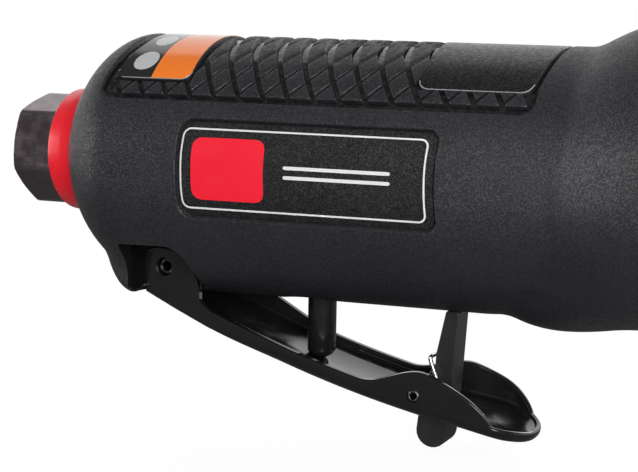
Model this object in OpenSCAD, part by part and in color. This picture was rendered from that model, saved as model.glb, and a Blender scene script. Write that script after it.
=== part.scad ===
// Straight air die grinder with a composite grip, a throttle lever and a safety catch.
// X runs along the motor from the air inlet to the collet, Z is up, away from the lever.
// The origin is the centre of the inlet mouth.

/* [Air inlet] */
// Hexagon across flats
inlet_hex = 17; // [16:0.5:19]
// Length of the hexagon
hex_len = 8.75; // [7:0.25:11]
// Minor radius of the inlet thread
thread_r = 5.75; // [5:0.25:6]
// Depth of the inlet thread
thread_depth = 12; // [10:0.5:13]
// Radius of the bushing's shank in the housing
shank_r = 8; // [7.5:0.25:8.5]
// Length of the shank inside the housing
shank_len = 11; // [9:0.5:13]
// Radius of the air passage
passage_r = 4; // [3:0.25:4.5]
// Outer radius of the red collar
collar_r = 10.75; // [10:0.25:11.5]
// Length of the red collar
collar_len = 4; // [3:0.25:5]
// Rounding of the collar's rear edge
collar_round = 1.6; // [0.5:0.1:2]

/* [Grip housing] */
// Radius of the grip
grip_r = 20; // [19.5:0.25:22]
// Drop of the grip's lower half below the motor axis
belly_drop = 2.5; // [1.5:0.25:3.5]
// Radius of the rear rim
rim_r = 12; // [11.75:0.25:13]
// Length of the domed rear end
dome_len = 11.25; // [9:0.25:13]
// Length of the grip between the dome and the flare
grip_len = 76; // [74:0.5:84]
// Radius of the flared hand stop
flare_r = 24.2; // [23.5:0.1:27]
// Length over which the flare rises
flare_rise = 9; // [6:0.5:12]
// Length of the flare to its front face
flare_len = 24; // [22:0.5:28]
// Rounding of the flare's front edge
flare_round = 2.5; // [1:0.25:4]

/* [Grip pad and labels] */
// Thickness of the textured pad
pad_t = 1; // [0.8:0.1:1.4]
// Angle above the side where the pad begins
pad_angle = 33; // [28:1:38]
// Gap from the dome to the pad
pad_back_gap = 0.75; // [0.5:0.25:6]
// Gap from the pad to the flare
pad_front_gap = 6; // [4:0.5:10]
// Thickness of the top patches
patch_t = 0.4; // [0.3:0.1:0.6]
// Angle above the side where the patches begin
patch_angle = 43; // [40:1:52]
// Length of the rear top patch
rear_patch_len = 13; // [8:0.5:15]
// Length of the front top patch
front_patch_len = 17; // [10:0.5:18]
// Gap from the pad's ends to the patches
patch_inset = 0.5; // [0.5:0.1:3]
// Thickness of the side labels
label_t = 0.6; // [0.4:0.1:1]
// Length of the side labels
label_len = 41.5; // [34:0.5:46]
// Half angle of the side labels
label_angle = 22.5; // [16:0.5:25]
// Place of the label's rear end behind the stem
label_back = 16.5; // [14:0.5:20]

/* [Throttle lever] */
// Place of the lever pin ahead of the rear rim
pin_ahead = 17.5; // [16:0.25:20]
// Depth of the lever pin below the motor axis
pin_depth = 18; // [17:0.25:19]
// Radius of the lever pin
pin_r = 1.5; // [1.2:0.1:1.8]
// Reach from the lever pin to the valve stem
stem_reach = 24.8; // [23:0.25:27]
// Reach from the lever pin to the catch pin
catch_reach = 44.4; // [42:0.25:46]
// Length of the lever ahead of its pin
lever_len = 62.6; // [58:0.5:66]
// Width of the lever
lever_w = 18; // [16.5:0.5:20]
// Thickness of the lever's sheet
sheet = 1.5; // [1:0.1:1.7]
// Drop from the pin to the lever's underside at the stem
lever_drop = 15.2; // [14.5:0.1:17]
// Slope of the lever at the stem, degrees
lever_slope = 16.5; // [14:0.5:18]
// Radius of the lever's lengthwise bow
bow_r = 200; // [160:5:260]
// Height of the lever's side walls
wall_h = 3.4; // [2.8:0.1:4]
// Extra height of the walls at the catch pin
bump_h = 3.4; // [2.6:0.1:4]
// Half length of that rise
bump_half = 11; // [8:0.5:12]
// Radius of the lever's ears
ear_r = 3.6; // [3.2:0.1:4]
// Corner radius of the lever's spoon end
spoon_r = 7.5; // [5:0.25:8]

/* [Safety catch] */
// Thickness of the catch
catch_t = 5; // [4:0.25:5.5]
// Radius of the catch pin
catch_pin_r = 1; // [0.8:0.05:1.1]
// Height of the catch pin above the lever's underside
catch_rise = 3.2; // [2.9:0.1:3.6]
// Gap between the catch's tip and the housing
catch_gap = 0.35; // [0.25:0.05:0.8]
// Place of the blade's front edge ahead of its pin
blade_front = 4.6; // [4:0.1:5]
// Width of the blade at its tip
tip_w = 1.8; // [1.4:0.1:2.4]
// Width of the blade at half height
blade_w = 3.1; // [2.6:0.1:3.4]
// Radius of the finger tab
tab_r = 2.45; // [2:0.05:2.8]
// Drop of the tab's centre below the catch pin
tab_drop = 7.2; // [6.6:0.1:8]
// Wire diameter of the catch spring
catch_wire = 0.8; // [0.6:0.05:0.9]
// Turns of the catch spring
catch_turns = 3; // [2:1:3]

/* [Valve] */
// Radius of the valve stem
stem_r = 2.35; // [2:0.05:2.5]
// Radius of the valve bore
valve_r = 6.5; // [6:0.1:6.8]
// Height of the valve chamber's roof above the motor axis
chamber_top = 8; // [7:0.25:10]
// Depth of the valve seat's top below the motor axis
seat_depth = 5; // [4.75:0.25:6]
// Thickness of the valve seat ring
seat_t = 2; // [1.5:0.1:2.5]
// Thickness of the poppet's head
poppet_t = 3; // [2:0.25:3.5]
// Wire diameter of the valve spring
spring_wire = 0.9; // [0.7:0.05:1]
// Turns of the valve spring
spring_turns = 4; // [3:1:4]

/* [Air motor] */
// Radius of the motor bore
motor_r = 16; // [15.5:0.1:16.5]
// Wall between the valve bore and the motor bore
motor_web = 4.45; // [3:0.05:8]
// Radius of the liner's bore
liner_r = 12.4; // [12:0.1:12.8]
// Radius of the rotor
rotor_r = 11; // [10:0.1:11.1]
// Length of the rear end plate
rear_plate_len = 8; // [7:0.25:8.5]
// Length of the front end plate
front_plate_len = 9.8; // [9:0.1:10.5]
// Outer radius of the rear bearing
rear_bearing_r = 9.5; // [8.5:0.25:10]
// Outer radius of the front bearing
front_bearing_r = 13; // [12:0.25:13.5]
// Thickness of the end plates' discs
disc_t = 1.8; // [1.4:0.1:2.4]
// Radius of the spindle in the rear bearing
tail_r = 4; // [3.5:0.1:4.2]
// Radius of the spindle in the rotor and the front bearing
shaft_r = 5; // [4.6:0.1:5.4]
// Thickness of a rotor vane
vane_t = 2.4; // [2:0.1:2.8]
// Depth of a vane slot
slot_depth = 5; // [4:0.1:5.2]
// Number of vanes
vanes = 5; // [4:1:5]

/* [Nose and collet] */
// Length of the nose cap's thread in the housing
nose_thread = 2.2; // [2:0.1:3]
// Radius of the nose cap's flange
flange_r = 17.4; // [17:0.1:17.6]
// Length of the nose cap's flange
flange_len = 3; // [2:0.25:5]
// Length of the nose cap's taper
nose_len = 10; // [8:0.5:14]
// Radius of the nose cap's front end
nose_r = 11.5; // [11:0.25:13]
// Radius of the spindle's thread
spindle_r = 6; // [5.8:0.1:6.4]
// Wrench flats on the spindle, across flats
flats = 11; // [10:0.25:11.5]
// Length of the wrench flats
flats_len = 6; // [5:0.5:9]
// Collet nut across flats
nut_hex = 17; // [16:0.5:19]
// Length of the collet nut
nut_len = 15; // [14:0.5:18]
// Radius of the tool shank
collet_r = 3; // [2.5:0.05:3.2]
// Outer radius of the collet
collet_out_r = 4.2; // [4.1:0.05:4.4]

/* [Exhaust] */
// Inner radius of the exhaust ring
exhaust_in_r = 18; // [17.8:0.1:18.4]
// Outer radius of the exhaust ring
exhaust_out_r = 21.4; // [20.5:0.1:21.6]
// Thickness of the exhaust ring
exhaust_t = 2.5; // [2:0.25:3.5]
// Length of the felt behind it
felt_len = 6; // [4:0.5:8]
// Number of exhaust holes
exhaust_holes = 18; // [8:1:20]

/* [Hidden] */

$fn = 96;
// Radial clearance of fixed pieces that slide together
fit = 0.05;
// Radial clearance of shafts, pins and the stem
run = 0.04;
// Clear gap between moving pieces that must not touch
clear = 0.3;
// Length by which a cut passes the surface it cuts
over = 1;
// Chamfer on small edges
edge = 0.5;

// Stations along the motor axis
rim_x = hex_len + collar_len;
dome_x = rim_x + dome_len;
crease_x = dome_x + grip_len;
front_x = crease_x + flare_len;
shank_end = rim_x + shank_len;
pin_x = rim_x + pin_ahead;
pin_z = -pin_depth;
valve_x = pin_x + stem_reach;
catch_x = pin_x + catch_reach;
lever_end = pin_x + lever_len;
belly_z = -grip_r - belly_drop;
bore_x = valve_x + valve_r + motor_web;
liner_x = bore_x + rear_plate_len;
liner_len = front_x - nose_thread - front_plate_len - liner_x;
front_plate_x = liner_x + liner_len;
nose_x = front_plate_x + front_plate_len;
flange_x = nose_x + nose_thread;
taper_x = flange_x + flange_len;
nose_end = taper_x + nose_len;
flats_x = nose_end + clear;
nut_x = flats_x + flats_len;
nut_end = nut_x + nut_len;

// Lever curve, an arc of radius bow_r in the XZ plane
bow_x = valve_x + bow_r * sin(lever_slope);
bow_z = pin_z - lever_drop + bow_r * cos(lever_slope);
function under_z(x) = bow_z - sqrt(bow_r * bow_r - (x - bow_x) * (x - bow_x));
function rise_at(x) = abs(x - catch_x) < bump_half ? (1 + cos(180 * (x - catch_x) / bump_half)) / 2 : 0;
function wall_top(x) = under_z(x) + wall_h + bump_h * rise_at(x);
catch_z = under_z(catch_x) + catch_rise;
ear_front = pin_x + 1.6 * ear_r;
wall_start = pin_x + 2.6 * ear_r;
lever_steps = 20;

// Hinge boss and pocket under the dome
boss_r = 7.1;
boss_x = pin_x - 10.2;
boss_plan_r = 10.3;
boss_plan_x = pin_x - 5;
pocket_back = pin_x - 8.3;
pocket_top = pin_z + ear_r + clear;
pocket_floor = pin_z - 5.2;
pocket_front = wall_start + 1.5 * over;
tang_half = lever_w / 2 - sheet - clear;
pocket_deep = 30;

// Groove over the catch, with a ramp that the blade's tip follows
groove_top = belly_z + 3.2;
groove_front = catch_x + blade_front + 0.7;
groove_ramp = 3.6;
groove_back = catch_x - 12.6;
groove_half = catch_t / 2 + clear;

// Catch, seen from the side, in its own frame at the catch pin
tip_h = belly_z - catch_gap - catch_z;
mid_h = 6;
hub_r = 2.2;
tab_x = 0.95;

// Slot in the lever's floor for the catch and its spring
slot_back = catch_x - hub_r - 2 * clear;
slot_front = catch_x + tab_drop + tab_r + 2 * clear;
window_front = catch_x + hub_r + 2 * clear;

// Valve, from the seat down to the lever
seat_z = -seat_depth;
bush_top = seat_z - seat_t;
cage_len = 6;
bush_low = belly_z + 1.2;
port_r = 2.4;
port_z = bush_top - cage_len / 2;
poppet_r = valve_r - 1.3;
seat_hole_r = stem_r + 1.6;
oring_wire = 0.8;
floor_z = under_z(valve_x) + sheet / cos(lever_slope);
nose_gap = 0.1;
stem_low = floor_z + nose_gap + stem_r / cos(lever_slope);
spring_low = seat_z + poppet_t;
spring_len = chamber_top - spring_low;
spring_r = poppet_r - spring_wire;

// Motor
liner_shift = liner_r - rotor_r - 0.1;
end_gap = 0.2;
plate_gap = 1.9;
pilot_r = 1.2;
pilot_len = 6;
pilot_z = (motor_r + liner_r + liner_shift) / 2 - 0.2;
tail_x = bore_x + end_gap;
seal_len = 4;
seal_in = nose_end - seal_len - 1;
collet_len = nut_len - 1;

// Points of an arc in the plane of the profile
function arc(cx, cy, r, a0, a1, n) =
    [for (i = [0:n]) [cx + r * cos(a0 + (a1 - a0) * i / n), cy + r * sin(a0 + (a1 - a0) * i / n)]];

// Rings of a round wire along a path, joined into one closed tube
wire_sides = 6;
curl_rings = 8;
function unit(v) = v / norm(v);
function tangent(p, i) = unit(p[min(i + 1, len(p) - 1)] - p[max(i - 1, 0)]);
function side_dir(t, up) = unit(cross(t, up));
function ring(p, i, r, up) =
    let (t = tangent(p, i), u = side_dir(t, up), v = cross(u, t))
    [for (k = [0:wire_sides - 1]) p[i] + r * (cos(360 * k / wire_sides) * u + sin(360 * k / wire_sides) * v)];
module wire(path, r, up) {
    rings = len(path);
    points = [for (i = [0:rings - 1]) each ring(path, i, r, up)];
    n = wire_sides;
    sides = [for (i = [0:rings - 2], k = [0:n - 1])
        let (a = i * n + k, b = i * n + (k + 1) % n)
        each [[a, b, b + n], [a, b + n, a + n]]];
    first = [for (k = [1:n - 2]) [0, k + 1, k]];
    last_ring = (rings - 1) * n;
    last = [for (k = [1:n - 2]) [last_ring, last_ring + k, last_ring + k + 1]];
    polyhedron(points, concat(sides, first, last));
}
// Least gap between neighbouring curls of a wire path
function self_gap(path, wire_d) =
    min([for (i = [0:len(path) - 1], j = [i + curl_rings / 2 + 1:1:len(path) - 1])
        norm(path[i] - path[j]) - wire_d]);

module along_x(x, length, r) {
    translate([x, 0, 0])
        rotate([0, 90, 0])
            cylinder(h = length, r = r);
}
module along_y(x, z, length, r) {
    translate([x, 0, z])
        rotate([90, 0, 0])
            cylinder(h = length, r = r, center = true);
}
module turned(profile) {
    rotate([0, 90, 0])
        rotate_extrude()
            polygon([for (p = profile) [p[1], p[0]]]);
}
// Ring sector about the motor axis, centred on an angle above the near side
module sector(x, length, r_in, r_out, centre, half) {
    translate([x, 0, 0])
        rotate([0, 90, 0])
            rotate([0, 0, 270 - centre - half])
                rotate_extrude(angle = 2 * half)
                    translate([r_in, 0])
                        square([r_out - r_in, length]);
}
module tube_x(x, length, r_in, r_out) {
    difference() {
        along_x(x, length, r_out);
        along_x(x - over, length + 2 * over, r_in);
    }
}
// Side outline given in X and Z, spread across Y
module across(points, width) {
    rotate([90, 0, 0])
        linear_extrude(width, center = true)
            polygon(points);
}
module hex_x(x, length, flats_w) {
    translate([x, 0, 0])
        rotate([0, 90, 0])
            cylinder(h = length, r = flats_w / sqrt(3), $fn = 6);
}

function dome(x0, r0) = [[x0, 0], [x0, r0], [x0 + 0.45 * dome_len, r0 + 0.65 * (grip_r - r0)],
    [x0 + 0.7 * dome_len, r0 + 0.89 * (grip_r - r0)], [x0 + dome_len, grip_r]];
flare_top = crease_x + flare_rise;

module grip_outside() {
    turned(concat(dome(rim_x, rim_r),
        [[crease_x, grip_r]],
        [[crease_x + 0.55 * flare_rise, grip_r + 0.72 * (flare_r - grip_r)]],
        [[flare_top, flare_r]],
        arc(front_x - flare_round, flare_r - flare_round, flare_round, 90, 0, 6),
        [[front_x, 0]]));
    translate([0, 0, -belly_drop])
        turned(concat(dome(rim_x + belly_drop, rim_r),
            [[crease_x, grip_r], [flare_top, grip_r], [flare_top, 0]]));
    intersection() {
        along_y(boss_x, pin_z, 3 * boss_plan_r, boss_r);
        translate([boss_plan_x, 0, -2 * grip_r])
            cylinder(h = 2 * grip_r, r = boss_plan_r);
    }
}
module lever_pocket(side) {
    depth = pocket_deep - tang_half;
    translate([0, side * (tang_half + depth / 2), 0])
        across([[pocket_back, pocket_top], [pin_x + ear_r, pocket_top], [pocket_front, belly_z + over],
            [pocket_front, -2 * grip_r], [boss_x + boss_r, -2 * grip_r], [boss_x + boss_r, pocket_floor],
            [pocket_back, pocket_floor]], depth);
}
module grip_housing() {
    color("#26272a")
        difference() {
            grip_outside();
            along_x(rim_x - over, shank_len + over, shank_r + fit);
            along_x(shank_end - over, valve_x - shank_end + over, passage_r);
            translate([valve_x, 0, belly_z - over])
                cylinder(h = chamber_top - belly_z + over, r = valve_r);
            translate([0, 0, port_z])
                along_x(valve_x, bore_x - valve_x + over, port_r);
            along_x(bore_x, front_x - bore_x + over, motor_r);
            tube_x(front_x - exhaust_t - felt_len, exhaust_t + felt_len + over,
                exhaust_in_r - fit, exhaust_out_r + fit);
            for (side = [-1, 1])
                lever_pocket(side);
            along_y(pin_x, pin_z, 2 * grip_r, pin_r + fit);
            across([[groove_front, belly_z - over], [groove_front, belly_z],
                [groove_front - groove_ramp, groove_top], [groove_back, groove_top],
                [groove_back, belly_z - over]], 2 * groove_half);
            sector(pad_x - fit, pad_end - pad_x + 2 * fit, grip_r - pad_t, grip_r + over, 90,
                90 - pad_angle + fit);
            for (side = [0, 180])
                sector(valve_x - label_back - fit, label_len + 2 * fit, grip_r - 2 * label_t,
                    grip_r + belly_drop + over, side, label_angle + fit);
        }
}
pad_x = dome_x + pad_back_gap;
pad_end = crease_x - pad_front_gap;
rear_patch_x = pad_x + patch_inset;
front_patch_x = pad_end - patch_inset - front_patch_len;
module patch(x, length) {
    sector(x, length, grip_r - patch_t, grip_r, 90, 90 - patch_angle);
}
module grip_pad() {
    color("#1d1e20")
        difference() {
            sector(pad_x, pad_end - pad_x, grip_r - pad_t, grip_r, 90, 90 - pad_angle);
            for (p = [[rear_patch_x, rear_patch_len], [front_patch_x, front_patch_len]])
                sector(p[0] - fit, p[1] + 2 * fit, grip_r - patch_t, grip_r + over, 90, 90 - patch_angle + fit);
        }
}
module rear_top_patch() {
    color("#e8641b")
        patch(rear_patch_x, rear_patch_len);
}
module front_top_patch() {
    color("#2e2f31")
        patch(front_patch_x, front_patch_len);
}
module side_label(centre) {
    color("#151618")
        sector(valve_x - label_back, label_len, grip_r - 2 * label_t, grip_r - label_t, centre, label_angle);
}
module side_label_near() {
    side_label(0);
}
module side_label_far() {
    side_label(180);
}

oring_x = rim_x + 0.55 * shank_len;
oring_r = shank_r - oring_wire;
module inlet_bushing() {
    color("#3a3836")
        difference() {
            union() {
                intersection() {
                    hex_x(0, hex_len, inlet_hex);
                    turned([[0, 0], [0, inlet_hex / 2], [2 * edge, inlet_hex / sqrt(3)],
                        [hex_len, inlet_hex / sqrt(3)], [hex_len, 0]]);
                }
                along_x(hex_len - over, collar_len + shank_len + over, shank_r);
            }
            along_x(-over, thread_depth + over, thread_r);
            along_x(0, thread_depth + screen_t, screen_r + fit);
            along_x(0, shank_end + over, passage_r);
            tube_x(oring_x - oring_wire - fit, 2 * (oring_wire + fit), oring_r - oring_wire - fit, shank_r + over);
        }
}
module inlet_collar() {
    color("#e31b2a")
        difference() {
            turned(concat([[hex_len, 0]],
                arc(hex_len + collar_round, collar_r - collar_round, collar_round, 180, 90, 6),
                [[rim_x, collar_r], [rim_x, 0]]));
            along_x(hex_len - over, collar_len + 2 * over, shank_r + fit);
        }
}
screen_t = 1;
screen_r = (thread_r + passage_r) / 2;
screen_hole_r = 0.5;
module inlet_screen() {
    color("#b9bcc0")
        difference() {
            along_x(thread_depth, screen_t, screen_r);
            for (r = [0:2], k = [0:max(6 * r - 1, 0)])
                translate([thread_depth - over, 0, 0])
                    rotate([60 * k / max(r, 1), 0, 0])
                        translate([0, 1.5 * r, 0])
                            rotate([0, 90, 0])
                                cylinder(h = screen_t + 2 * over, r = screen_hole_r);
        }
}
module inlet_oring() {
    color("#101010")
        translate([oring_x, 0, 0])
            rotate([0, 90, 0])
                rotate_extrude()
                    translate([oring_r, 0])
                        circle(r = oring_wire);
}

module exhaust_felt() {
    color("#8c8577")
        tube_x(front_x - exhaust_t - felt_len, felt_len, exhaust_in_r, exhaust_out_r);
}
module exhaust_ring() {
    hole_r = (exhaust_out_r - exhaust_in_r) / 3.4;
    color("#2a2b2d")
        difference() {
            tube_x(front_x - exhaust_t, exhaust_t, exhaust_in_r, exhaust_out_r);
            for (k = [0:exhaust_holes - 1])
                rotate([360 * k / exhaust_holes, 0, 0])
                    translate([0, (exhaust_in_r + exhaust_out_r) / 2, 0])
                        along_x(front_x - exhaust_t - over, exhaust_t + 2 * over, hole_r);
        }
}

module cylinder_liner() {
    color("#8f9296")
        difference() {
            along_x(liner_x, liner_len, motor_r - fit);
            translate([0, 0, -liner_shift])
                along_x(liner_x - over, liner_len + 2 * over, liner_r);
            pilot_hole();
        }
}
module pilot_hole() {
    translate([0, 0, pilot_z])
        along_x(liner_x - pilot_len / 2 - fit, pilot_len + 2 * fit, pilot_r + fit);
}
module locating_pin() {
    color("#c4c6c8")
        translate([0, 0, pilot_z])
            along_x(liner_x - pilot_len / 2, pilot_len, pilot_r);
}
module rear_end_plate() {
    color("#9a9da1")
        difference() {
            along_x(bore_x, rear_plate_len, motor_r - fit);
            along_x(bore_x - over, rear_plate_len - disc_t + over, rear_bearing_r + fit);
            along_x(bore_x, rear_plate_len + over, tail_r + 2 * clear);
            translate([0, 0, -rear_bearing_r - port_r - 0.6])
                along_x(bore_x - over, rear_plate_len + 2 * over, port_r);
            pilot_hole();
        }
}
module front_end_plate() {
    color("#9a9da1")
        difference() {
            along_x(front_plate_x, front_plate_len, motor_r - fit);
            along_x(front_plate_x + disc_t, front_plate_len, front_bearing_r + fit);
            along_x(front_plate_x - over, front_plate_len, shaft_r + plate_gap);
        }
}
module bearing(x, length, r_in, r_out) {
    groove = length / 6;
    color("#d0d2d4")
        difference() {
            tube_x(x, length, r_in, r_out);
            for (end = [x - over, x + length - groove])
                tube_x(end, groove + over, r_in + 0.3 * (r_out - r_in), r_out - 0.3 * (r_out - r_in));
        }
}
module rear_bearing() {
    bearing(bore_x, rear_plate_len - disc_t, tail_r + run, rear_bearing_r);
}
module front_bearing() {
    bearing(front_plate_x + disc_t, front_plate_len - disc_t, shaft_r + run, front_bearing_r);
}
module nose_cap() {
    color("#b4b7ba")
        difference() {
            turned([[nose_x, 0], [nose_x, motor_r - fit], [flange_x, motor_r - fit], [flange_x, flange_r],
                [taper_x - edge, flange_r], [taper_x, flange_r - edge], [nose_end, nose_r], [nose_end, 0]]);
            along_x(nose_x - over, nose_end - nose_x + 2 * over, spindle_r + 2 * clear);
            along_x(seal_in, nose_end - seal_in + over, nose_r - 2);
            along_x(nose_x - over, 2 * over, front_bearing_r - 2);
        }
}
module nose_seal() {
    color("#141414")
        tube_x(seal_in, seal_len, spindle_r + clear, nose_r - 2 - fit);
}

module valve_bush() {
    color("#b08d3c")
        translate([valve_x, 0, 0])
            difference() {
                translate([0, 0, bush_low])
                    cylinder(h = bush_top - bush_low, r = valve_r - fit);
                translate([0, 0, bush_low - over])
                    cylinder(h = bush_top - bush_low + over, r = stem_r + run);
                translate([0, 0, bush_top - cage_len])
                    cylinder(h = cage_len + over, r = seat_hole_r);
                translate([0, 0, port_z])
                    along_x(0, valve_r + over, port_r);
                translate([0, 0, oring_low])
                    cylinder(h = 2 * (oring_wire + fit), r = stem_r + 2 * oring_wire + 2 * fit);
            }
}
oring_low = bush_low + 3;
module stem_oring() {
    color("#101010")
        translate([valve_x, 0, oring_low + oring_wire + fit])
            rotate_extrude()
                translate([stem_r + run + oring_wire, 0])
                    circle(r = oring_wire);
}
module valve_seat() {
    color("#2b2b2b")
        translate([valve_x, 0, bush_top])
            difference() {
                cylinder(h = seat_t, r = valve_r - fit);
                translate([0, 0, -over])
                    cylinder(h = seat_t + 2 * over, r = seat_hole_r);
            }
}
module valve_stem() {
    color("#17181a")
        translate([valve_x, 0, 0]) {
            translate([0, 0, seat_z])
                cylinder(h = poppet_t, r = poppet_r);
            translate([0, 0, stem_low])
                cylinder(h = seat_z - stem_low + poppet_t / 2, r = stem_r);
            translate([0, 0, stem_low])
                sphere(r = stem_r);
        }
}
spring_rings = spring_turns * curl_rings;
spring_path = [for (i = [0:spring_rings])
    [valve_x + spring_r * cos(360 * i / curl_rings), spring_r * sin(360 * i / curl_rings),
     spring_low + spring_wire / 2 + fit + (spring_len - spring_wire - 2 * fit) * i / spring_rings]];
module valve_spring() {
    color("#c0c2c4")
        wire(spring_path, spring_wire / 2, [0, 0, 1]);
}

module lever_pin() {
    color("#77797c")
        difference() {
            along_y(pin_x, pin_z, lever_w + 2 * edge, pin_r);
            along_y(pin_x, pin_z, lever_w + 2 * edge + 2 * over, 0.55 * pin_r);
        }
}
module lever_plan(inset) {
    half = lever_w / 2 - inset;
    corner = spoon_r - inset;
    end = lever_end - inset;
    translate([0, 0, -3 * grip_r])
        linear_extrude(3 * grip_r) {
            translate([pin_x - 3 * ear_r, -half])
                square([end - corner - pin_x + 3 * ear_r, 2 * half]);
            translate([end - corner - over, corner - half])
                square([corner + over, 2 * (half - corner)]);
            for (side = [-1, 1])
                translate([end - corner, side * (half - corner)])
                    circle(r = corner);
        }
}
function stations(x0) = [for (i = [0:lever_steps]) x0 + (lever_end - x0) * i / lever_steps];
function under_line(xs, lift) = [for (i = [len(xs) - 1:-1:0]) [xs[i], under_z(xs[i]) + lift]];
module lever_walls() {
    xs = stations(wall_start);
    difference() {
        union() {
            across(concat([for (x = xs) [x, wall_top(x)]], under_line(xs, 0)), lever_w);
            across([[pin_x - ear_r, pin_z], [pin_x + 0.7 * ear_r, pin_z + 0.7 * ear_r],
                [ear_front, pin_z - 0.6 * ear_r], [wall_start, wall_top(wall_start)],
                [wall_start, under_z(wall_start)], [pin_x, under_z(pin_x)],
                [pin_x - ear_r, under_z(pin_x - ear_r)]], lever_w);
            along_y(pin_x, pin_z, lever_w, ear_r);
        }
        lever_plan(sheet);
    }
}
module lever_floor() {
    xs = stations(wall_start);
    across(concat([for (x = xs) [x, under_z(x) + sheet]], under_line(xs, 0)), lever_w);
}
module throttle_lever() {
    slot_half = catch_t / 2 + clear;
    window_half = lever_w / 2 - sheet;
    color("#0d0d0f")
        difference() {
            intersection() {
                union() {
                    lever_walls();
                    lever_floor();
                }
                lever_plan(0);
            }
            translate([slot_back, -slot_half, -3 * grip_r])
                cube([slot_front - slot_back, 2 * slot_half, 3 * grip_r]);
            translate([slot_back, -window_half, -3 * grip_r])
                cube([window_front - slot_back, window_half, 3 * grip_r]);
            along_y(pin_x, pin_z, 2 * lever_w, pin_r + run);
            along_y(catch_x, catch_z, 2 * lever_w, catch_pin_r + fit / 2);
        }
}
module catch_pin() {
    color("#8a8c8f")
        difference() {
            along_y(catch_x, catch_z, lever_w, catch_pin_r);
            along_y(catch_x, catch_z, lever_w + over, 0.55 * catch_pin_r);
        }
}
module safety_catch() {
    color("#3b3b3e")
        translate([catch_x, 0, catch_z])
            difference() {
                union() {
                    across([[tab_x - tab_r, -tab_drop], [-0.8 * hub_r, 0], [blade_front - blade_w, mid_h],
                        [blade_front - tip_w, tip_h - edge], [blade_front - tip_w + edge, tip_h],
                        [blade_front - edge, tip_h], [blade_front, tip_h - edge], [blade_front, mid_h],
                        [1.1 * hub_r, 0], [tab_x + tab_r, -tab_drop]], catch_t);
                    along_y(0, 0, catch_t, hub_r);
                    along_y(tab_x, -tab_drop, catch_t, tab_r);
                }
                along_y(0, 0, 2 * catch_t, catch_pin_r + run);
            }
}
// Spring wire: curls round the catch pin, then a leg that hooks behind the blade
coil_r = catch_pin_r + catch_wire;
coil_in = -catch_t / 2 - clear - catch_wire / 2;
coil_pitch = catch_wire + 0.45;
coil_rings = catch_turns * curl_rings;
hook_x = blade_front - blade_w - catch_wire / 2 - clear;
hook_z = mid_h - 0.4;
catch_path = concat(
    [for (i = [0:coil_rings])
        [coil_r * cos(360 * i / curl_rings), coil_in - coil_pitch * (coil_rings - i) / curl_rings,
         coil_r * sin(360 * i / curl_rings)]],
    [[1.15 * coil_r, coil_in, 1.5 * catch_wire], [hook_x + 0.1, coil_in, hook_z - catch_wire],
     [hook_x, coil_in + 0.5 * catch_wire, hook_z], [hook_x, coil_in + catch_t / 2, hook_z]]);
module catch_spring() {
    color("#d8d9db")
        translate([catch_x, 0, catch_z])
            wire(catch_path, catch_wire / 2, [0.3, 1, 0.2]);
}

module rotor() {
    color("#6f7276")
        difference() {
            along_x(liner_x + end_gap, liner_len - 2 * end_gap, rotor_r);
            along_x(liner_x - over, liner_len + 2 * over, shaft_r + fit / 2);
            for (k = [0:vanes - 1])
                rotate([360 * k / vanes, 0, 0])
                    translate([liner_x - over, -vane_t / 2, rotor_r - slot_depth])
                        cube([liner_len + 2 * over, vane_t, 2 * slot_depth]);
        }
}
module rotor_vanes() {
    color("#7a4a26")
        for (k = [0:vanes - 1])
            rotate([360 * k / vanes, 0, 0])
                translate([liner_x + end_gap, -vane_t / 2 + fit, rotor_r - slot_depth + fit])
                    cube([liner_len - 2 * end_gap, vane_t - 2 * fit, slot_depth - 8 * fit]);
}
collet_seat = nut_end - over - collet_len;
module spindle() {
    color("#a9acb0")
        difference() {
            union() {
                along_x(tail_x, liner_x - tail_x + over, tail_r);
                along_x(liner_x + end_gap, nose_x - liner_x + over, shaft_r);
                along_x(nose_x + clear, flats_x - nose_x, spindle_r);
                intersection() {
                    along_x(flats_x, flats_len + over, spindle_r);
                    translate([flats_x - over, -flats / 2, -spindle_r])
                        cube([flats_len + 2 * over, flats, 2 * spindle_r]);
                }
                along_x(nut_x, nut_len - 4, spindle_r);
            }
            along_x(collet_seat, collet_len + 2 * over, collet_out_r + fit / 2);
        }
}
module collet() {
    slit = 0.5;
    color("#c9cbce")
        difference() {
            along_x(collet_seat, collet_len, collet_out_r);
            along_x(collet_seat - over, collet_len + 2 * over, collet_r);
            for (k = [0:2])
                rotate([120 * k, 0, 0])
                    translate([collet_seat + collet_len / 2, 0, -slit / 2])
                        cube([collet_len, 2 * collet_out_r, slit]);
        }
}
module collet_nut() {
    color("#54565a")
        difference() {
            intersection() {
                hex_x(nut_x + clear, nut_len - clear, nut_hex);
                turned([[nut_x, 0], [nut_x, nut_hex / sqrt(3)], [nut_end - 2.5, nut_hex / sqrt(3)],
                    [nut_end, nut_hex / 2 - 1.5], [nut_end, 0]]);
            }
            along_x(nut_x - over, nut_len - 4 + over + clear, spindle_r + run);
            along_x(nut_x, nut_len + over, collet_out_r + run);
        }
}

echo(valve_spring_gap = self_gap(spring_path, spring_wire));
echo(catch_spring_gap = self_gap(catch_path, catch_wire));

grip_housing();
grip_pad();
side_label_near();
side_label_far();
rear_top_patch();
front_top_patch();
inlet_bushing();
inlet_collar();
inlet_screen();
inlet_oring();
exhaust_felt();
exhaust_ring();
cylinder_liner();
rear_end_plate();
front_end_plate();
rear_bearing();
front_bearing();
locating_pin();
nose_cap();
nose_seal();
valve_bush();
valve_seat();
stem_oring();
lever_pin();
throttle_lever();
catch_pin();
safety_catch();
catch_spring();
valve_stem();
valve_spring();
rotor();
spindle();
rotor_vanes();
collet();
collet_nut();
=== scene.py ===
"""The looks of a straight air die grinder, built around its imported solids. Lengths are in millimetres."""

import math

import bmesh
import bpy
import numpy as np
from mathutils import Matrix, Vector


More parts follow.
